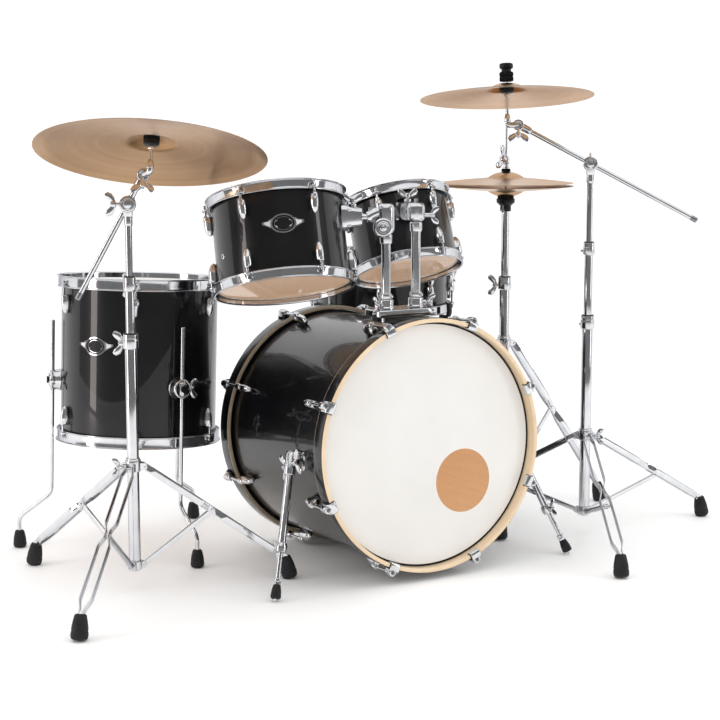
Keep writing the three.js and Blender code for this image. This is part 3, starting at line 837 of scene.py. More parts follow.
def bass_hoop(name, look, flip):
    """A maple hoop, bare at its edges and inside, with black lacquer round the outside."""
    high = Bass.edge + BASS_LIP
    low = high - HOOP_WIDTH
    core = [(HOOP_R - HOOP_WALL, low), (HOOP_R - 0.6, low), (HOOP_R - 0.6, high), (HOOP_R - HOOP_WALL, high)]
    piece(f"{name}_wood", look, "kit_base", Form().put(hollow(core, 2.2, 192, 4), flip), Bass.place, [name])
    skin = [(HOOP_R - 0.7, low + 2.4), (HOOP_R, low + 3.0), (HOOP_R, high - 3.0), (HOOP_R - 0.7, high - 2.4)]
    piece(f"{name}_lacquer", "lacquer", "kit_base", Form().put(hollow(skin, 0.3, 192), flip), Bass.place)


def bass_head(name, node, flip, port=None):
    """A head with its raised edge, and where `port` gives a centre and radius, a round hole."""
    r, e = Bass.radius, Bass.edge
    if port is None:
        top = [(0, e + 1.2), (r - 12, e + 1.2), (r - 2, e + 0.8), (r + 2.2, e - 0.4)]
        under = [(r + 1.6, e - 1.0), (r - 2, e + 0.2), (r - 12, e + 0.6), (0, e + 0.6)]
        film = turned(top + under, 0, 160)
    else:
        # one skin: out from the port's rim over the front, round the edge and back along the rear
        centre, rings, sides = Vector(port[0]), 26, 192
        rim = [centre + Vector(p) for p in circle(port[1], sides)]
        edge = [Vector(p) for p in circle(r, sides)]
        shares = [i / rings for i in range(rings + 1)]
        film = Form()
        for z, way in ((e + 1.2, shares), (e + 0.6, shares[::-1])):
            for share in way:
                film.verts += [(*start.lerp(end, share), z) for start, end in zip(rim, edge)]
        film.skin(sides, 2 * (rings + 1), closed=True)
    piece(name, "coated", "kit_base", Form().put(film, flip), Bass.place, [node])
    # the head's edge ring is black: painted shade, standing for the shadow in the crease where head meets
    # hoop
    outer = HOOP_R - HOOP_WALL - 0.8
    bead = [(r + 0.4, e - 6), (outer, e - 6), (outer, e + 1.6), (r + 0.4, e + 1.6)]
    piece(f"{name}_edge", "plastic", "kit_base", Form().put(hollow(bead, 1.4, 160), flip), Bass.place)


CLAW_ROD_OUT = 25.0


def bass_hardware():
    """Claws that hook over the hoops, their pads and screws, and the rods down to the lugs."""
    r, e = Bass.radius, Bass.edge
    front = e + BASS_LIP
    axis = r + CLAW_ROD_OUT
    claws, pads, rods, screws, lugs = Form(), Form(), Form(), Form(), Form()
    lug = turned([(x * 1.02, z * 1.12) for x, z in LUG_OUTLINE], 1.8, 40, 4)
    hook = [(283, -9), (282.6, 1.5), (287, 3.4), (298, 3.2), (301.5, -2), (302.5, -16)]
    pad = [(284.4, -10), (284.2, 0.4), (288, 1.1), (295.4, 0.9), (296, -8), (296.4, -17)]
    for degrees in CLAW_ANGLES:
        out = polar(1, degrees)
        face = out.cross(UP.cross(out)) + out

        def at(radius, z):
            return polar(radius, degrees, z)

        def strip(outline, bend, steps):
            return fillet([at(x, front + z) for x, z in outline], bend, steps, closed=False)

        claws.put(sweep(rounded_box(25, 3.6, 1.4), strip(hook, 3.5, 4), hint=face))
        pads.put(sweep(rounded_box(28, 1.6, 0.5), strip(pad, 2.0, 3), hint=face))
        boss = [(0, 8.5), (0.35, 9.6), (0.8, 8.8), (1, 6.4)]
        claws.put(turned_between(at(axis, front + 1.0), at(axis, front - 26), boss, 1.2, 32))
        bridge = [at(axis - 4, front - 1), at(axis - 4.5, front - 18)]
        claws.put(sweep(rounded_box(20, 8, 2), bridge, hint=out))
        screws.put(collar(at(axis, front + 0.2), at(axis, front + 2.2), 5.2, 0.5, 28))
        screws.put(block((4.6, 4.6, 7), 0.5), pointing(at(axis, front + 3.4), UP, hint=out))
        rods.put(tube([at(axis, front - 20), at(axis, e - 44)], 3.2, 16))
        rods.put(collar(at(axis, e - 40.5), at(axis, e - 44), 5.2, 0.6, 6))
        lugs.put(lug, pointing(at(r + 11, e - 66), UP, hint=out) @ Matrix.Diagonal((1.6, 1, 1, 1)))
        nut = [(0, 5.0), (0.35, 7.6), (0.85, 7.8), (1, 6.4)]
        lugs.put(turned_between(at(axis - 1, e - 62), at(axis, e - 44), nut, 1.2, 28))
    piece("bass_claws", "cast", "kit_base", both_ends(claws), Bass.place)
    piece("bass_claw_pads", "rubber", "kit_base", both_ends(pads), Bass.place)
    piece("bass_claw_screws", "steel", "kit_base", both_ends(screws), Bass.place)
    piece("bass_tension_rods", "chrome", "kit_base", both_ends(rods), Bass.place)
    piece("bass_lugs", "cast", "kit_base", both_ends(lugs), Bass.place)


ply_shell(Bass, "kit_base")
bass_hoop("bass_front_hoop", "maple", FRONT)
# the rear hoop takes the darkened maple: painted shade
bass_hoop("bass_rear_hoop", "maple_painted_shade", MIRROR)
bass_head("bass_front_film", "bass_front_head", FRONT, (PORT_AT, PORT_R))
bass_head("bass_batter_film", "bass_batter_head", MIRROR)
bass_hardware()


# ---------------------------------------------------------------- shared hardware
BASE_R, BASE_BORE = 13.2, 10.9
MIDDLE_R, MIDDLE_BORE = 10.1, 8.4
UPPER_R = 7.6


def flat_bar(path, width, thickness, hint):
    """A flat strip along a path: `thickness` across it and `width` towards hint."""
    return sweep(rounded_box(thickness, width, 1.0, 2), path, hint=hint)


def rubber_boot(top, foot, size=1.0):
    """A rubber foot with full sides and one groove, from the leg's end down to the floor."""
    profile = [
        (0, 14.0), (0.05, 17.4), (0.16, 18.6), (0.30, 18.4), (0.33, 17.5), (0.37, 17.4), (0.41, 17.9),
        (0.60, 16.6), (0.80, 14.6), (0.95, 12.8), (1, 10.5),
    ]
    return turned_between(foot, top, [(t, r * size) for t, r in profile], 1.4, 36)


def height_clamp(x, y, top, radius, bore, bolt, wing, drop=36):
    """(chrome, black) forms of a split clamp with a nylon sleeve round a telescoping tube."""
    shiny, black = Form(), Form()
    outer = [
        (bore + 1.4, 0), (radius + 1.5, 0), (radius + 4.2, 3), (radius + 4.2, drop * 0.55),
        (radius + 3.2, drop * 0.62), (radius + 3.4, drop - 2.5), (bore + 1.4, drop - 2.5),
    ]
    shiny.put(hollow(outer, 1.0, 48), Matrix.Translation((x, y, top - drop)))
    sleeve = [
        (bore + 0.1, 6), (bore + 1.5, 6), (bore + 1.5, drop - 2),
        (radius + 2.2, drop - 2), (radius + 2.4, drop), (bore + 0.1, drop),
    ]
    black.put(hollow(sleeve, 0.5, 48), Matrix.Translation((x, y, top - drop)))
    out = polar(1, bolt)
    side = UP.cross(out)
    screw = Vector((x, y, top - drop * 0.72)) + out * (radius + 9)
    lug = plate(rounded_box(14, 16, 4, 4), 4.4, 1.0)
    for s in (-1, 1):
        shiny.put(lug, pointing(screw + side * (4.2 * s), side, hint=out))
    shiny.put(collar(screw - side * 9, screw + side * 7, 4.6, 0.8, 6))
    if wing:
        shiny.put(wing_bolt(screw + side * 6, side, UP, 1.25, 12))
    else:
        shiny.put(collar(screw, screw + side * 18, 3.4, 0.6, 8))
    return shiny, black


def ring_at(x, y, low, high, inside, outside, rounding, steps=3):
    """An upright ring round (x, y)."""
    shape = hollow([(inside, low), (outside, low), (outside, high), (inside, high)], rounding, 48, steps)
    return Form().put(shape, Matrix.Translation((x, y, 0)))


def pipe(x, y, low, high, radius, bore):
    return ring_at(x, y, low, high, bore, radius, 0.6, 2)


def tripod(name, at, leg_radius, angles, hub, foot, top, strut_at, clamp_bolt=59.4, wing=True):
    """A folding tripod: a tube, two cast hubs, three legs of paired strips, struts and rubber boots."""
    x, y = at
    radius = BASE_R
    # how far each strip of a leg stands from its middle, along the leg: the pair pinches in at the strut
    half = [
        (0, 6.5), (0.05, 12.6), (0.39, 12.8), (0.445, 4.2), (0.49, 4.2), (0.545, 12.6),
        (0.90, 12.8), (0.965, 4.6), (1.0, 4.2),
    ]
    lug = plate(fillet([(-2, -8), (13, -8), (17, -4), (17, 5), (12, 9), (-2, 9)], 4), 3.2)
    low_lug = plate(fillet([(-2, -7), (8, -7), (12, -3), (12, 5), (8, 8), (-2, 8)], 3.5), 3.0)
    bright, castings, black, boots = Form(), Form(), Form(), Form()
    bright.put(pipe(x, y, foot - 2, top - 4, radius, BASE_BORE))
    # the hub that the legs hang from, a lock ring over it, and the lower hub that holds the struts
    castings.put(ring_at(x, y, hub - 13, hub + 13, radius - 0.2, radius + 4.6, 2.2))
    castings.put(ring_at(x, y, hub + 11, hub + 17, radius - 0.2, radius + 2.6, 1.2))
    castings.put(ring_at(x, y, foot - 4, foot + 16, radius - 0.2, radius + 3.6, 1.8))
    black.put(collar((x, y, foot - 6), (x, y, foot + 1), radius - 0.8, 1.5))
    out = polar(1, angles[0] + 60)
    grip = Vector((x, y, hub - 2)) + out * (radius + 3)
    castings.put(collar(grip, grip + out * 9, 6.5, 1.0, 24))
    bright.put(wing_bolt(grip + out * 6, out, UP, 1.0, 6))
    for degrees in angles:
        out = polar(1, degrees)
        side = UP.cross(out)

        def on(r, z):
            return Vector((x, y, z)) + out * r

        start, end = on(radius + 12, hub - 3), on(leg_radius - 10, 50)
        along = end - start
        normal = along.cross(side).normalized() * -1
        for s in (-1, 1):
            path = fillet([start + along * t + side * (w * s) for t, w in half], 5, 4, closed=False)
            bright.put(flat_bar(path, 15.5, 2.7, normal))
            castings.put(lug, pointing(on(radius, hub - 3) + side * (9.2 * s), side * -1, hint=out))
            castings.put(low_lug, pointing(on(radius, foot + 6) + side * (7.4 * s), side * -1, hint=out))
        # rivets and the strut
        joint = start + along * strut_at
        inward = on(radius + 7, foot + 6)
        rivets = ((start + along * 0.004, 11.6, 3.6), (joint, 7.6, 4.2), (inward, 9.6, 3.4))
        for centre, reach, size in rivets:
            castings.put(collar(centre - side * reach, centre + side * reach, size, 1.0, 20))
        up = (joint - inward).cross(side).normalized()
        bright.put(flat_bar([inward, joint], 11.5, 6.4, up))
        tip = on(leg_radius + 1, 2.5)
        crown = end + along.normalized() * 2 + UP * 3
        bright.put(flat_bar([end - along.normalized() * 10, crown - UP * 10 + out * 4], 13, 8, normal))
        boots.put(rubber_boot(crown + UP * 2 - out * 3, tip))
    clamp, sleeve = height_clamp(x, y, top, radius, BASE_BORE, clamp_bolt, wing)
    castings.put(clamp)
    black.put(sleeve)
    piece(f"{name}_tube_and_legs", "chrome", "kit_base", bright, None, [f"{name}_base"])
    piece(f"{name}_hubs", "cast", "kit_base", castings)
    piece(f"{name}_sleeves", "plastic", "kit_base", black)
    piece(f"{name}_boots", "rubber", "kit_base", boots)


# ---------------------------------------------------------------- spurs
SPUR_PIVOT = (-306, 136, 286)
SPUR_FOOT = (-407, 25, 0)


def spur(name, mirror):
    """A spur: the bracket and outer tube on the shell, and the rod with its rubber foot that slides in it."""
    def at(x, y, z):
        return Vector((x * mirror, y, z))

    pivot, foot = at(*SPUR_PIVOT), at(*SPUR_FOOT)
    out = Vector((-mirror, 0, 0))

    def along(t):
        return pivot.lerp(foot, t)

    castings, bright = Form(), Form()
    # a cast saddle on the shell, a knuckle that stands out of it, and a grip round the tube
    saddle = [(-18, -22), (18, -22), (21, -14), (21, 14), (18, 22), (-18, 22), (-21, 14), (-21, -14)]
    place = pointing(at(-279, 136, 287), out, hint=(0, -1, 0))
    castings.put(plate(fillet(saddle, 7, 4), 9, 2.0), place)
    castings.put(block((38, 30, 16), 5, 4), pointing(at(-288, 136, 287), out, hint=(0, 0, 1)))
    boss = [(0, 19), (0.6, 18), (1, 15)]
    castings.put(turned_between(at(-284, 136, 286), at(-304, 136, 286), boss, 2.5, 40))
    axis = (foot - pivot).normalized()
    grip = [(0, 11), (0.1, 14), (0.75, 14), (1, 12.2)]
    castings.put(turned_between(along(-0.075), along(0.1), grip, 2.2, 40))
    castings.put(collar(along(0.585), along(0.65), 12.4, 1.6))
    castings.put(collar(along(0.60), along(0.635), 13.6, 1.0))
    bright.put(tube([along(0.02), along(0.62)], 9.0, 36))
    side = axis.cross(out).normalized()
    for s in (-1, 1):
        bright.put(wing_bolt(along(0.02) + side * (11 * s), side * s, UP, 1.35, 9))
    bright.put(wing_bolt(along(0.618) + side * 10, side, UP, 0.95, 7))
    for dz in (-17, 17):
        head = at(-283, 136, 287 + dz)
        bright.put(collar(head, head + out * 3.5, 4.2, 0.9, 20))
    piece(f"{name}_tube", "chrome", "kit_base", bright, None, [f"bass_spur_bracket_{name[5:]}"])
    piece(f"{name}_bracket", "cast", "kit_base", castings)
    rod = Form()
    rod.put(tube([along(0.34), along(0.88)], 5.4, 28))
    rod.put(collar(along(0.835), along(0.855), 9.0, 1.0))
    rod.put(collar(along(0.855), along(0.88), 8.0, 0.8, 6))
    rod.put(turned_between(along(0.94), along(1.0) + UP * 1.0, [(0, 4.4), (0.35, 3.6), (1, 0.8)], 0.3, 20))
    piece(f"{name}_rod", "chrome", name, rod, None, [f"bass_spur_rod_{name[5:]}"])
    piece(f"{name}_foot", "rubber", name, rubber_boot(along(0.875), along(0.975), 0.64))


spur("spur_left", 1)
spur("spur_right", -1)

# ---------------------------------------------------------------- tom holder
POSTS = {"left": Vector((-45, 150, 0)), "right": Vector((38, 152, 0))}
BRACKET_TOP = 642.0
TILTER_HEIGHT = 846.0
POST_TOP = {"left": 794.0, "right": 819.0}


def tom_bracket():
    """The casting on the bass drum that clamps both tom posts."""
    castings, bright = Form(), Form()
    body = [(-85, -34), (-60, -42), (54, -42), (79, -34), (79, 34), (54, 42), (-60, 42), (-85, 34)]
    place = Matrix.Translation((0, 151, 611))
    castings.put(plate(fillet(body, 10, 4), 17, 2.5), place)
    skirt = [(-70, -30), (64, -30), (64, 30), (-70, 30)]
    castings.put(plate(fillet(skirt, 8, 4), 26, 2.0), Matrix.Translation((0, 151, 602)))
    for name, post in POSTS.items():
        x, y = post.x, post.y
        outline = [
            (11.4, 606), (20, 606), (20, 622), (17.6, 626),
            (17.6, BRACKET_TOP - 2), (16, BRACKET_TOP), (11.4, BRACKET_TOP),
        ]
        castings.put(hollow(outline, 1.4, 48), Matrix.Translation((x, y, 0)))
        sign = -1 if name == "left" else 1
        out = Vector((sign * 0.94, -0.34, 0)).normalized()
        boss = Vector((x, y, 629))
        castings.put(collar(boss + out * 15, boss + out * 25, 7.0, 1.2, 28))
        bright.put(wing_bolt(boss + out * 23, out, UP, 1.0, 5))
    for dx in (-72, 66):
        for dy in (-26, 26):
            bright.put(collar((dx, 151 + dy, 618), (dx, 151 + dy, 623), 5.0, 1.0, 6))
    piece("tom_bracket_casting", "cast", "kit_base", castings, None, ["bass_tom_bracket"])
    piece("tom_bracket_screws", "chrome", "kit_base", bright)


tom_bracket()


def tom_holder(side, drum, tom):
    """One post with its tilter, the arm that leaves it, and the plate on the drum."""
    post = POSTS[side]
    centre, lean = drum.place.translation, drum.place.to_3x3().col[2]
    away = Vector((centre.x - post.x, centre.y - post.y, 0)).normalized()
    across = UP.cross(away)

    def on(z, out=0.0, over=0.0):
        return Vector((post.x, post.y, z)) + away * out + across * over

    top = POST_TOP[side]
    column, fittings = Form(), Form()
    column.put(tube([on(601), on(top)], 11.0, 40))
    crown = [(0, 12.2), (0.14, 14.2), (0.86, 14.6), (1, 13.2)]
    fittings.put(turned_between(on(top - 24), on(top), crown, 1.4, 44))
    fittings.put(collar(on(BRACKET_TOP + 1), on(BRACKET_TOP + 13), 14.2, 1.6))
    lock = on(BRACKET_TOP + 7)
    front = Vector((0.30, -0.95, 0)).normalized()
    fittings.put(collar(lock + front * 12, lock + front * 20, 3.4, 0.6, 6))
    body = f"tom_post_{side}"
    piece(f"{body}_column", "chrome", body, column, None, [body])
    piece(f"{body}_collars", "cast", body, fittings)

    # where the level arm meets the shell
    level = TILTER_HEIGHT - 14

    def from_axis(out):
        gap = on(level, out) - centre
        return (gap - lean * gap.dot(lean)).length

    touch = next(step / 2 for step in range(1200) if from_axis(step / 2) <= drum.radius + 1)
    plate_out = touch - 42
    viewer = Vector((-0.42, -0.9, 0)).normalized()
    arm, shiny = Form(), Form()
    tilter = [(0, 15), (0.12, 20), (0.8, 21), (1, 16)]
    arm.put(turned_between(on(top + 1), on(TILTER_HEIGHT + 17), tilter, 4, 48))
    disc = on(809) + viewer * 13 + Vector((-7.7, 4.6, 0))
    if side == "left":
        ring = [(0, -8), (19, -8), (22.5, -2), (22.5, 8), (19, 11), (13, 11), (12, 8.5), (0, 8.5)]
        arm.put(turned(ring, 1.2, 48), pointing(disc, viewer))
        screw = [(0, 8), (9, 8), (8.4, 13), (5, 14), (4.6, 16.5), (0, 17)]
        shiny.put(turned(screw, 0.8, 32), pointing(disc, viewer))
        shiny.put(wing_bolt(disc - across * 4 + UP * 2, across * -1, UP, 0.9, 18))
    else:
        arm.put(block((40, 34, 36), 7, 4), pointing(on(TILTER_HEIGHT - 4), UP, hint=viewer))
        handle = Vector((0.86, -0.5, 0)).normalized()
        root = on(TILTER_HEIGHT - 12)
        shiny.put(collar(root + handle * 14, root + handle * 36, 5.2, 1.2, 24))
        shiny.put(wing_bolt(root + handle * 30, handle, UP, 1.0, 4))
        shiny.put(collar(on(TILTER_HEIGHT + 12), on(TILTER_HEIGHT + 26), 6.0, 1.5, 6))
    # elbow, stem and memory collar
    elbow = fillet([on(TILTER_HEIGHT, 8), on(level + 8, 26), on(level, 40)], 10, 5, closed=False)
    arm.put(sweep(circle(13, 32), elbow, hint=UP))
    shiny.put(tube([on(level, 20), on(level, plate_out - 0.6)], 7.5, 32))
    arm.put(collar(on(level, plate_out - 24), on(level, plate_out - 12), 12.5, 1.8))
    arm.put(collar(on(level + 10, plate_out - 18), on(level + 22, plate_out - 18), 3.6, 0.6, 8))
    piece(f"{tom}_arm_casting", "cast", f"{tom}_arm", arm, None, [f"{tom}_arm"])
    piece(f"{tom}_arm_stem", "chrome", f"{tom}_arm", shiny)

    # a deep round-cornered housing on the shell, with a clamp screw on top
    mount, screw = Form(), Form()
    facing = pointing(on(level, touch), away * -1, hint=UP)
    shape = Form()
    sections = [(-6, 62, 60), (4, 60, 58), (16, 50, 50), (34, 44, 44), (41.5, 40, 40)]
    for depth, w, h in sections:
        ring = rounded_box(w, h, min(w, h) * 0.34, 7)
        shape.verts += [tuple(facing @ Vector((px, py, depth))) for px, py in ring]
    mount.put(shape.skin(len(ring), len(sections)))
    mount.put(collar(on(level, touch - 20) + UP * 20, on(level, touch - 20) + UP * 31, 9, 1.5))
    screw.put(wing_bolt(on(level, touch - 20) + UP * 28, UP, None, 1.1, 6))
    for s in (-1, 1):
        for z in (level + 18, level - 18):
            screw.put(collar(on(z, touch - 8, 24 * s), on(z, touch - 16, 24 * s), 4.0, 0.8, 20))
    screw.put(collar(on(level, touch - 40), on(level, touch - 44), 10.5, 1.0, 32))
    piece(f"{tom}_mount_housing", "cast", tom, mount, None, [f"{tom}_mount"])
    piece(f"{tom}_mount_screws", "chrome", tom, screw)


tom_holder("left", TOM_12, "tom_12")
tom_holder("right", TOM_10, "tom_10")

# ---------------------------------------------------------------- floor tom legs
# Each leg's bracket angle, then its foot's angle and distance from the drum's middle.
FLOOR_LEGS = ((159, 156.6, 303.5), (275.5, 274.2, 279), (38, 38.7, 286))
LEG_IN, LEG_TOP, LEG_BEND, LEG_KNEE = 211, 562, 133, 76
LEG_GRIP = -57  # the brackets' height from the middle of the shell


def floor_tom_legs():
    """Three bent rods, each held to the shell by a deep round cup with a rod clamp and a wing bolt."""
    brackets, pads, screws = Form(), Form(), Form()
    shell = FLOOR_TOM.radius
    for i, (bracket, foot_angle, reach) in enumerate(FLOOR_LEGS):

        def upright(z):
            return FLOOR_TOM.place @ polar(LEG_IN, bracket, z - FLOOR_TOM_AT[2])

        def foot(z):
            return Vector(FLOOR_TOM_AT) + polar(reach, foot_angle, z - FLOOR_TOM_AT[2])

        rod = tube([upright(LEG_TOP), upright(LEG_BEND), foot(LEG_KNEE), foot(24)], 4.9, 24, 16)
        body = f"floor_tom_leg_{i + 1}"
        piece(f"{body}_rod", "chrome", body, rod, None, [body])
        piece(f"{body}_foot", "rubber", body, rubber_boot(foot(43), foot(0.6), 0.88))
        out = polar(1, bracket)
        side = UP.cross(out)

        def on(r, z=0.0):
            return polar(r, bracket, LEG_GRIP + z)

        cup = [(0, -2), (27, -2), (27, 3), (25.5, 7), (23.5, 24), (21.5, 27), (18, 27), (17, 20), (0, 20)]
        brackets.put(turned(cup, 1.6, 56), pointing(on(shell), out))
        dark = [(0, 18), (17, 18), (17.2, 23), (12, 26), (0, 26)]
        pads.put(turned(dark, 1.2, 40), pointing(on(shell), out))
        grip = [(0, 8.2), (0.14, 10.8), (0.86, 10.8), (1, 8.2)]
        brackets.put(turned_between(on(LEG_IN, -17), on(LEG_IN, 17), grip, 1.5, 36))
        brackets.put(collar(on(shell + 16), on(LEG_IN - 4), 9.5, 1.5, 40))
        pads.put(collar(on(LEG_IN + 8), on(LEG_IN + 14), 8.6, 1.2, 32))
        screws.put(wing_bolt(on(LEG_IN) + side * 8, side, UP, 1.1, 12))
    piece("floor_tom_leg_brackets", "cast", "kit_base", brackets, FLOOR_TOM.place)
    piece("floor_tom_bracket_pads", "plastic", "kit_base", pads, FLOOR_TOM.place)
    piece("floor_tom_bracket_screws", "chrome", "kit_base", screws, FLOOR_TOM.place)


floor_tom_legs()


# ---------------------------------------------------------------- cymbals and their boom stands
CYMBAL_HOLE = 6.5


def cymbal_form(radius, bell, rise):
    """A thin plate: a domed bell, a shallow bow and a slightly turned-down edge."""
    bell_rise = bell * 0.3
    shoulder = rise - bell_rise
    top = []
    for i in range(9):
        t = i / 8
        r = CYMBAL_HOLE + (bell * 0.92 - CYMBAL_HOLE) * t
        top.append((r, rise - bell_rise * 0.93 * t**2.1))
    top.append((bell * 1.03, shoulder + bell_rise * 0.015))
    for i in range(1, 19):
        t = i / 18
        r = bell * 1.08 + (radius - bell * 1.08) * t
        top.append((r, shoulder * (1 - 0.80 * t - 0.20 * t**2.6)))
    under = []
    for r, z in reversed(top):
        thick = 1.7 - 0.8 * (r / radius)
        under.append((r, z - thick))
    return hollow(top + under, 0, 160)


def cymbal_seat(hole, lean, stack, above, nut):
    """(felts, plastics, chrome) round the rod that a cymbal turns on; `above` lists the felts over it."""
    felts, plastics, shiny = Form(), Form(), Form()

    def on(s):
        return hole + lean * s

    felts.put(turned_between(on(-13), on(-3.5), [(0, 17.2), (0.12, 18), (0.88, 18), (1, 17)], 1.2, 40))
    plastics.put(turned_between(on(-25), on(-13.2), [(0, 13.5), (0.18, 17.4), (0.9, 18), (1, 17.6)], 1.2, 40))
    for low, high, r in above:
        felt = [(0, r * 0.94), (0.2, r), (0.8, r), (1, r * 0.93)]
        felts.put(turned_between(on(low), on(high - 0.5), felt, 1.6, 40))
    top = above[-1][1]
    shiny.put(tube([on(-40), on(stack - 1)], 3.4, 20))
    shiny.put(collar(on(top), on(top + 1.6), 9.5, 0.4, 32))
    if nut:
        cap = [(0, 8.4), (0.3, 8.4), (0.5, 6.8), (1, 6.2)]
        plastics.put(turned_between(on(top + 1.6), on(top + 13), cap, 1.0, 32))
    return felts, plastics, shiny


TEETH = 30
ARM_OFFSET = -16.0  # how far beside the stand's axis the boom arm runs


def boom_stand(name, at, middle_span, upper_span, tilter_at, tail, cymbal_at, lean, radius, bell, rise,
               bolt, tall=False, knob_way=None):
    """A cymbal stand over its tripod: two tubes, the boom in its ratchet clamp, the tilter and the cymbal."""
    x, y = at
    clamp_at = Vector((x, y, upper_span[1]))
    tilter_at = Vector(tilter_at)
    lean = Vector(lean).normalized()
    cymbal_at = Vector(cymbal_at)
    v = tilter_at - clamp_at
    hinge = Vector((v.y, -v.x, 0)).normalized()
    if hinge.y > 0:
        hinge = -hinge
    up = v.normalized()

    # middle tube
    low, high = middle_span
    body = f"{name}_middle_tube"
    shiny, black = height_clamp(x, y, high, MIDDLE_R, MIDDLE_BORE, bolt, not tall, 34)
    pipe_form = pipe(x, y, low, high - 3, MIDDLE_R, MIDDLE_BORE)
    piece(f"{body}_pipe", "chrome", body, pipe_form, None, [f"{name}_stand_middle_tube"])
    piece(f"{body}_clamp", "cast", body, shiny)
    piece(f"{body}_sleeve", "plastic", body, black)

    # upper tube and the fixed half of the boom clamp
    low, high = upper_span
    body = f"{name}_upper_tube"
    rod = tube([(x, y, low), (x, y, high - 22)], UPPER_R, 32)
    piece(f"{body}_rod", "chrome", body, rod, None, [f"{name}_stand_upper_tube"])
    fixed = Form()
    sleeve = [(0, 8.4), (0.15, 9.3), (0.85, 9.3), (1, 8.8)]
    fixed.put(turned_between((x, y, high - 48), (x, y, high - 18), sleeve, 1.5, 40))
    neck = clamp_at - UP * 21
    gooseneck = [neck - hinge * 4, neck + hinge * 12, clamp_at + hinge * 13 - UP * 9]
    fixed.put(sweep(rounded_box(20, 15, 4), gooseneck, hint=UP))
    cheek = [(0, 5.5), (16.5, 5.5), (18.5, 8), (18.5, 18), (16.5, 21), (12.5, 21.5), (11.5, 19), (0, 19)]
    fixed.put(turned(cheek, 1.0, 56), pointing(clamp_at, hinge))
    fixed.put(turned([(0, 18), (9.5, 18), (9, 24), (0, 25)], 1.0, 32), pointing(clamp_at, hinge))
    tooth = block((3.4, 1.3, 1.4), 0.3, 1)
    ratchet = pointing(clamp_at + hinge * 5.6, hinge)
    for k in range(TEETH):
        turn = Matrix.Rotation(2 * math.pi * k / TEETH, 4, "Z")
        fixed.put(tooth, ratchet @ turn @ Matrix.Translation((16.4, 0, 0)))
    piece(f"{body}_clamp", "cast", body, fixed)
    if knob_way is None:
        knob = Form().put(wing_bolt(clamp_at - hinge * 20, hinge * -1, UP, 1.2, 12))
        knob.put(collar(clamp_at + hinge * 24, clamp_at + hinge * 31, 7.0, 1.0, 6))
    else:
        way = Vector(knob_way)
        knob = wing_bolt(clamp_at + hinge * 13 + way * 14, way, UP, 1.2, 12)
    piece(f"{body}_knob", "chrome", body, knob)

    # boom arm
    body = f"{name}_boom"
    end = clamp_at - up * tail

    def aside(p, s=ARM_OFFSET):
        return p + hinge * s

    rod = tube([aside(end), aside(tilter_at - up * 14)], 6.0, 32)
    piece(f"{body}_rod", "chrome", body, rod, None, [f"{name}_boom_arm"])
    arm = Form()
    drum = [(0, -20.5), (13, -20.5), (16, -18), (17.5, -6), (17.5, 4), (16, 5.2), (0, 5.2)]
    arm.put(turned(drum, 1.2, 48), pointing(clamp_at, hinge))
    grip = [(0, 8.0), (0.2, 10.2), (0.8, 10.2), (1, 8.0)]
    arm.put(turned_between(aside(clamp_at - up * 17), aside(clamp_at + up * 17), grip, 1.4, 36))
    socket = [(0, 7.2), (0.2, 9.0), (0.8, 9.6), (1, 8.4)]
    arm.put(turned_between(aside(tilter_at - up * 36), aside(tilter_at - up * 8), socket, 1.4, 32))
    knuckle = [(0, -7), (12, -7), (13.5, -5), (13.5, 7.5), (12.8, 9), (0, 9)]
    arm.put(turned(knuckle, 1.0, 44), pointing(aside(tilter_at), hinge))
    piece(f"{body}_castings", "cast", body, arm)
    cap = [(0, 5.2), (0.12, 7.0), (1, 6.8)]
    cap_form = turned_between(aside(end - up * 1.5), aside(end + up * 16), cap, 1.0, 32)
    piece(f"{body}_end_cap", "steel", body, cap_form)

    # tilter
    body = f"{name}_tilter"
    hole = cymbal_at + lean * rise
    face = ARM_OFFSET + 9.4
    seat_base = aside(tilter_at, face + 5.5)
    drop = (hole - seat_base).dot(lean)
    foot = hole - lean * drop
    castings = Form()
    cheek = [(0, 0), (13.0, 0), (13.8, 1.5), (13.8, 9), (12.5, 11), (9, 11), (8, 9.5), (0, 9.5)]
    castings.put(turned(cheek, 0.8, 44), pointing(aside(tilter_at, face), hinge))
    elbow = fillet([seat_base, foot, foot + lean * 16], 8, 5, closed=False)
    castings.put(sweep(circle(7.2, 28), elbow, hint=hinge))
    taper = [(0, 8.2), (0.5, 7.4), (1, 5.2)]
    castings.put(turned_between(foot + lean * 8, foot + lean * 28, taper, 1.5, 32))
    axle = aside(tilter_at, face + 11)
    under = (lean * -1 + hinge * 0.35).normalized()
    stack = ((5, 16.5, 17.5), (16.5, 28, 17.5)) if tall else ((0.6, 8, 15.0),)
    felts, plastics, shiny = cymbal_seat(hole, lean, 50 if tall else 30, stack, not tall)
    if tall:
        # a stacked pair of black cups
        for low, high, cup, rounding in (
            (28, 36.5, [(0, 13), (0.3, 12), (0.7, 12), (1, 13.5)], 1.0),
            (36, 49, [(0, 15.5), (0.15, 17), (0.85, 17), (1, 15)], 1.2),
        ):
            plastics.put(turned_between(hole + lean * low, hole + lean * high, cup, rounding, 40))
    shiny.put(tube([foot + lean * 4, hole - lean * 24], 4.4, 28))
    shiny.put(collar(hole - lean * 33, hole - lean * 27, 7.4, 1.0, 6))
    shiny.put(wing_bolt(axle - lean * 6, under, None, 1.2, 14))
    piece(f"{body}_casting", "cast", body, castings, None, [body])
    piece(f"{body}_rod", "chrome", body, shiny)
    piece(f"{body}_felts", "felt", body, felts)
    piece(f"{body}_cups", "plastic", body, plastics)
    body = f"{name}_cymbal"
    piece(f"{body}_plate", "bronze", body, cymbal_form(radius, bell, rise), pointing(cymbal_at, lean), [body])


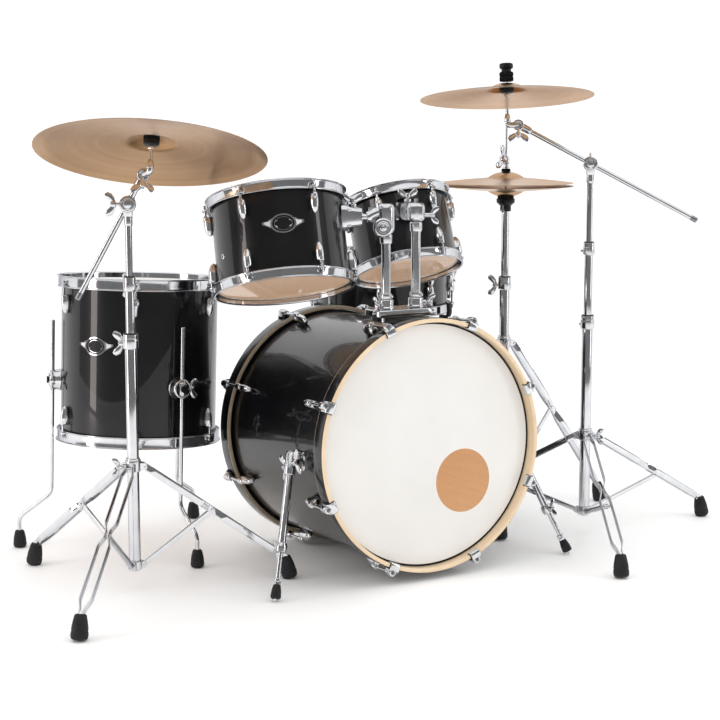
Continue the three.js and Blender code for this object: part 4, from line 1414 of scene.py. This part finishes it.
tripod("ride_stand", (-640, 257), 363, (108.5, 228.5, 348.5), 292, 58, 590, 0.47)
boom_stand("ride", (-640, 257), (430, 716), (560, 874), (-609, 242, 937), 239, (-598, 225, 982),
           (0.188, 0.249, 0.95), 10 * INCH, 62, 44, 20, knob_way=(-0.861, 0.509, 0))
tripod("crash_stand", (554, 158), 405, (-115.5, 1, 124.5), 262, 60, 568, 0.60, wing=False)
boom_stand("crash", (554, 158), (400, 752), (590, 945), (411, 267, 1040), 298, (391, 289, 1107),
           (0.042, 0.12, 0.992), 8.5 * INCH, 54, 36, 59.4, tall=True)

# ---------------------------------------------------------------- hi-hats
HAT_X, HAT_Y, HAT_Z = 527.0, 480.0, 883.0
HAT_R, HAT_BELL, HAT_RISE, HAT_OPENING = 7 * INCH, 52.0, 28.0, 9.0
HAT_UPPER, HAT_LOWER = HAT_Z + HAT_OPENING / 2, HAT_Z - HAT_OPENING / 2
HAT_TOP, HAT_LOW = HAT_UPPER + HAT_RISE, HAT_LOWER - HAT_RISE
PEDAL_WAY = Vector((0.17, 0.985, 0)).normalized()


def hi_hats():
    """The hi-hat stand with its cymbals, clutch, pull rod and pedal."""
    x, y = HAT_X, HAT_Y

    def at(z):
        return Vector((x, y, z))

    tripod("hihat_stand", (x, y), 312, (-6, 114, -126), 464, 76, 640, 0.45)
    body = "hihat_lower"
    plate_form = cymbal_form(HAT_R, HAT_BELL, HAT_RISE)
    flip = Matrix.Translation((x, y, HAT_LOWER)) @ Matrix.Rotation(math.pi, 4, "X")
    piece("hihat_bottom_plate", "bronze", body, plate_form, flip, ["hihat_bottom_cymbal"])
    upper = pipe(x, y, 470, HAT_LOW - 30, MIDDLE_R, 6.0)
    piece("hihat_upper_pipe", "chrome", body, upper, None, ["hihat_upper_tube"])
    cup = Form()
    cup.put(ring_at(x, y, HAT_LOW - 38, HAT_LOW - 14, 6.5, 14.5, 1.4))
    saucer = [(6.5, -24), (14, -24), (24, -15), (24.5, -7), (22, -3.6), (6.5, -3.6)]
    cup.put(hollow(saucer, 1.5, 48), Matrix.Translation(at(HAT_LOW)))
    piece("hihat_seat_cup", "plastic", body, cup)
    piece("hihat_seat_felt", "felt", body, ring_at(x, y, HAT_LOW - 3.4, HAT_LOW + 2.0, 6.8, 21.5, 1.6))
    screw = Form()
    left = Vector((-0.86, -0.5, 0)).normalized()
    screw.put(collar(at(HAT_LOW - 15) + left * 14, at(HAT_LOW - 34) + left * 16, 1.8, 0.4, 12))
    head = [(0, 3.2), (0.4, 4.4), (1, 3.6)]
    screw.put(turned_between(at(HAT_LOW - 32) + left * 16, at(HAT_LOW - 41) + left * 16.5, head, 0.8, 20))
    piece("hihat_seat_screw", "steel", body, screw)

    body = "hihat_upper"
    piece("hihat_pull_rod", "chrome", body, tube([at(500), at(1085)], 3.2, 20), None, ["hihat_rod"])
    top_place = Matrix.Translation((x, y, HAT_UPPER))
    piece("hihat_top_plate", "bronze", body, plate_form, top_place, ["hihat_top_cymbal"])
    felts = Form()
    felts.put(ring_at(x, y, HAT_TOP + 0.4, HAT_TOP + 8, 6.6, 12.0, 1.4))
    felts.put(ring_at(x, y, HAT_TOP - 12, HAT_TOP - 4.6, 6.4, 13.0, 1.4))
    piece("hihat_clutch_felts", "felt", body, felts)
    clutch = Form()
    outline = [
        (3.4, -16), (6.2, -16), (6.2, 8), (10, 8.4), (10, 12), (6.8, 13),
        (6.8, 21), (8.6, 23), (8.6, 40), (6.0, 43), (3.4, 43),
    ]
    clutch.put(hollow(outline, 0.7, 40), Matrix.Translation(at(HAT_TOP)))
    clutch.put(ring_at(x, y, HAT_TOP - 20, HAT_TOP - 13, 6.3, 10.5, 1.0))
    side = Vector((-0.93, -0.36, 0)).normalized()
    clutch.put(wing_bolt(at(HAT_TOP + 30) + side * 4, (side + UP * 0.45).normalized(), UP, 1.5, 6))
    piece("hihat_clutch", "cast", body, clutch)

    # the foot pedal, its frame and the linkage under the tube
    def along(s, z, over=0.0):
        return at(z) + PEDAL_WAY * s + UP.cross(PEDAL_WAY) * over

    frame_form, board = Form(), Form()
    for s in (-1, 1):
        rail = [along(4, 6, 15 * s), along(150, 6, 17 * s), along(300, 6, 26 * s)]
        frame_form.put(tube(rail, 3.6, 16, 40))
    frame_form.put(block((66, 20, 13), 2.5), pointing(along(302, 8.5), UP, hint=UP.cross(PEDAL_WAY)))
    frame_form.put(collar(along(0, 2), along(0, 78), 15.6, 2.0))
    frame_form.put(block((44, 26, 9), 2.5), pointing(along(4, 6.5), UP, hint=UP.cross(PEDAL_WAY)))
    piece("hihat_pedal_frame", "cast", "kit_base", frame_form)
    heel, toe = along(290, 20), along(44, 88)
    slope = (toe - heel).normalized()
    over = UP.cross(PEDAL_WAY)
    normal = over.cross(slope).normalized()
    if normal.z < 0:
        normal = -normal
    place = pointing(heel.lerp(toe, 0.5), normal, hint=slope)
    length = (toe - heel).length
    half = [(-length / 2, 28), (length * 0.28, 35), (length / 2 - 12, 33), (length / 2, 20)]
    outline = fillet([(s, -w) for s, w in half] + half[::-1], 9, 4)
    board.put(plate(outline, 5.4, 1.4), place)
    for k in range(9):
        across_bar = block((3.2, 46 - abs(k - 4) * 2.2, 2.2), 0.7)
        board.put(across_bar, place @ Matrix.Translation((length * (0.40 - 0.07 * k), 0, 3.2)))
    board.put(block((24, 36, 5), 1.5), place @ Matrix.Translation((-length / 2 + 16, 0, 1.8)))
    piece("hihat_footboard", "cast", "hihat_pedal", board, None, ["hihat_pedal"])
    piece("hihat_pull_link", "steel", "kit_base", flat_bar([along(40, 88), along(15, 96)], 16, 3, UP))


hi_hats()


# ---------------------------------------------------------------- snare stand
def snare_stand():
    """The tripod, and the basket whose three arms hold the drum; the basket rides with the drum."""
    x, y, snare_z = SNARE_AT
    tripod("snare_stand", (x, y), 250, (63, 183, 303), 250, 60, 360, 0.5, clamp_bolt=250)
    bottom = snare_z - SNARE.edge - 12
    hub = bottom - 86
    body = "snare_drum"
    post, castings, rubber_form = Form(), Form(), Form()
    post.put(tube([(x, y, 230), (x, y, hub - 14)], 9.5, 36))
    casting = [(0, 11), (0.25, 19), (0.7, 22), (1, 16)]
    castings.put(turned_between((x, y, hub - 26), (x, y, hub + 15), casting, 3, 40))
    for degrees in (60, 180, 300):
        out = polar(1, degrees)
        side = UP.cross(out)

        def on(r, z):
            return Vector((x, y, z)) + out * r

        reach = SNARE.radius + 25
        arm = [on(12, hub + 2), on(60, hub + 6)]
        arm += [on(reach + r, bottom + z) for r, z in ((-30, -34), (-3, -16), (0, -4))]
        arm = fillet(arm, 20, 5, closed=False)
        post.put(flat_bar(arm, 6.0, 15.0, out * -1 + UP))
        tip = [on(reach + r, bottom + z) for r, z in ((-24, -6), (-2, -6), (3, 6), (1, 31))]
        tip = fillet(tip, 7, 4, closed=False)
        rubber_form.put(sweep(rounded_box(17, 9, 3), tip, hint=side.cross(out) + out * 0.2))
        castings.put(collar(on(18, hub) - side * 9, on(18, hub) + side * 9, 5, 1, 20))
    castings.put(wing_bolt((x + 20, y, hub - 8), (1, -0.2, -0.15), UP, 1.1, 8))
    piece("snare_basket_arms", "chrome", body, post, None, ["snare_basket"])
    piece("snare_basket_hub", "cast", body, castings)
    piece("snare_basket_tips", "rubber", body, rubber_form)


snare_stand()

# ---------------------------------------------------------------- floor, light and camera
def stage():
    """A plain pale floor."""
    mesh = bpy.data.meshes.new("floor")
    mesh.from_pydata([(-14, -14, 0), (14, -14, 0), (14, 14, 0), (-14, 14, 0)], [], [(0, 1, 2, 3)])
    floor = linked("floor", mesh)
    floor.location.z = -0.0005
    s = Shader("floor_paint", (0.95, 0.95, 0.948), 0.62)
    s.feed("Roughness", s.span(s.noise(2, 3), 0.56, 0.7))
    mesh.materials.append(s.material)


def area_light(name, at, look_at, size, power, color=(1, 1, 1), seen=True):
    data = bpy.data.lights.new(name, "AREA")
    data.shape = "RECTANGLE"
    data.size, data.size_y = size
    data.energy = power
    data.color = color
    lamp = linked(name, data)
    lamp.location = at
    lamp.rotation_euler = (Vector(look_at) - Vector(at)).to_track_quat("-Z", "Y").to_euler()
    lamp.visible_glossy = seen


def flag(name, start, end, low, high):
    """A dark curved card round the studio, from one bearing to another, that only reflections show."""
    steps, radius, dark = 24, 6.0, 0.17
    verts, faces = [], []
    for k in range(steps + 1):
        side = polar(radius, start + (end - start) * k / steps)
        verts += [(side.x, side.y, low), (side.x, side.y, high)]
    for k in range(steps):
        faces.append((2 * k, 2 * k + 2, 2 * k + 3, 2 * k + 1))
    mesh = bpy.data.meshes.new(name)
    mesh.from_pydata(verts, [], faces)
    card = linked(name, mesh)
    s = Shader(f"{name}_cloth", (dark, dark, dark), 0.9)
    s.set("Specular IOR Level", 0.0)
    s.feed("Roughness", s.span(s.noise(3, 2), 0.85, 0.95))
    mesh.materials.append(s.material)
    card.visible_camera = False
    card.visible_diffuse = False
    card.visible_shadow = False


stage()
flag("flag_wall", 150, 335, 0.02, 5.2)
area_light("overhead", (-0.6, -0.8, 4.2), (0, 0, 0.5), (4.5, 3.5), 34, seen=False)
area_light("front_fill", (-1.8, -4.2, 2.6), (0, 0, 0.5), (3.5, 2.5), 10, seen=False)
area_light("left_strip", (-4.6, 0.45, 1.4), (-0.4, 0.4, 0.6), (0.8, 2.8), 44, (1.0, 0.91, 0.88))
area_light("right_strip", (3.4, -3.4, 1.8), (0.1, 0.2, 0.6), (0.6, 3.0), 26)

bpy.context.scene.view_settings.view_transform = "Standard"
world = bpy.data.worlds.new("studio")
bpy.context.scene.world = world
world.use_nodes = True
backdrop = world.node_tree.nodes["Background"]
backdrop.inputs["Color"].default_value = (1.0, 1.0, 1.0, 1.0)
backdrop.inputs["Strength"].default_value = 1.1

view = bpy.data.cameras.new("camera")
view.lens = 85
view.sensor_width = 36
camera = linked("camera", view)
camera.location = (Vector((-2096.5, -3203.9, 1074.9)) + SHIFT) / 1000
camera.rotation_euler = (math.radians(81.663), 0, math.radians(-30.575))
bpy.context.scene.camera = camera
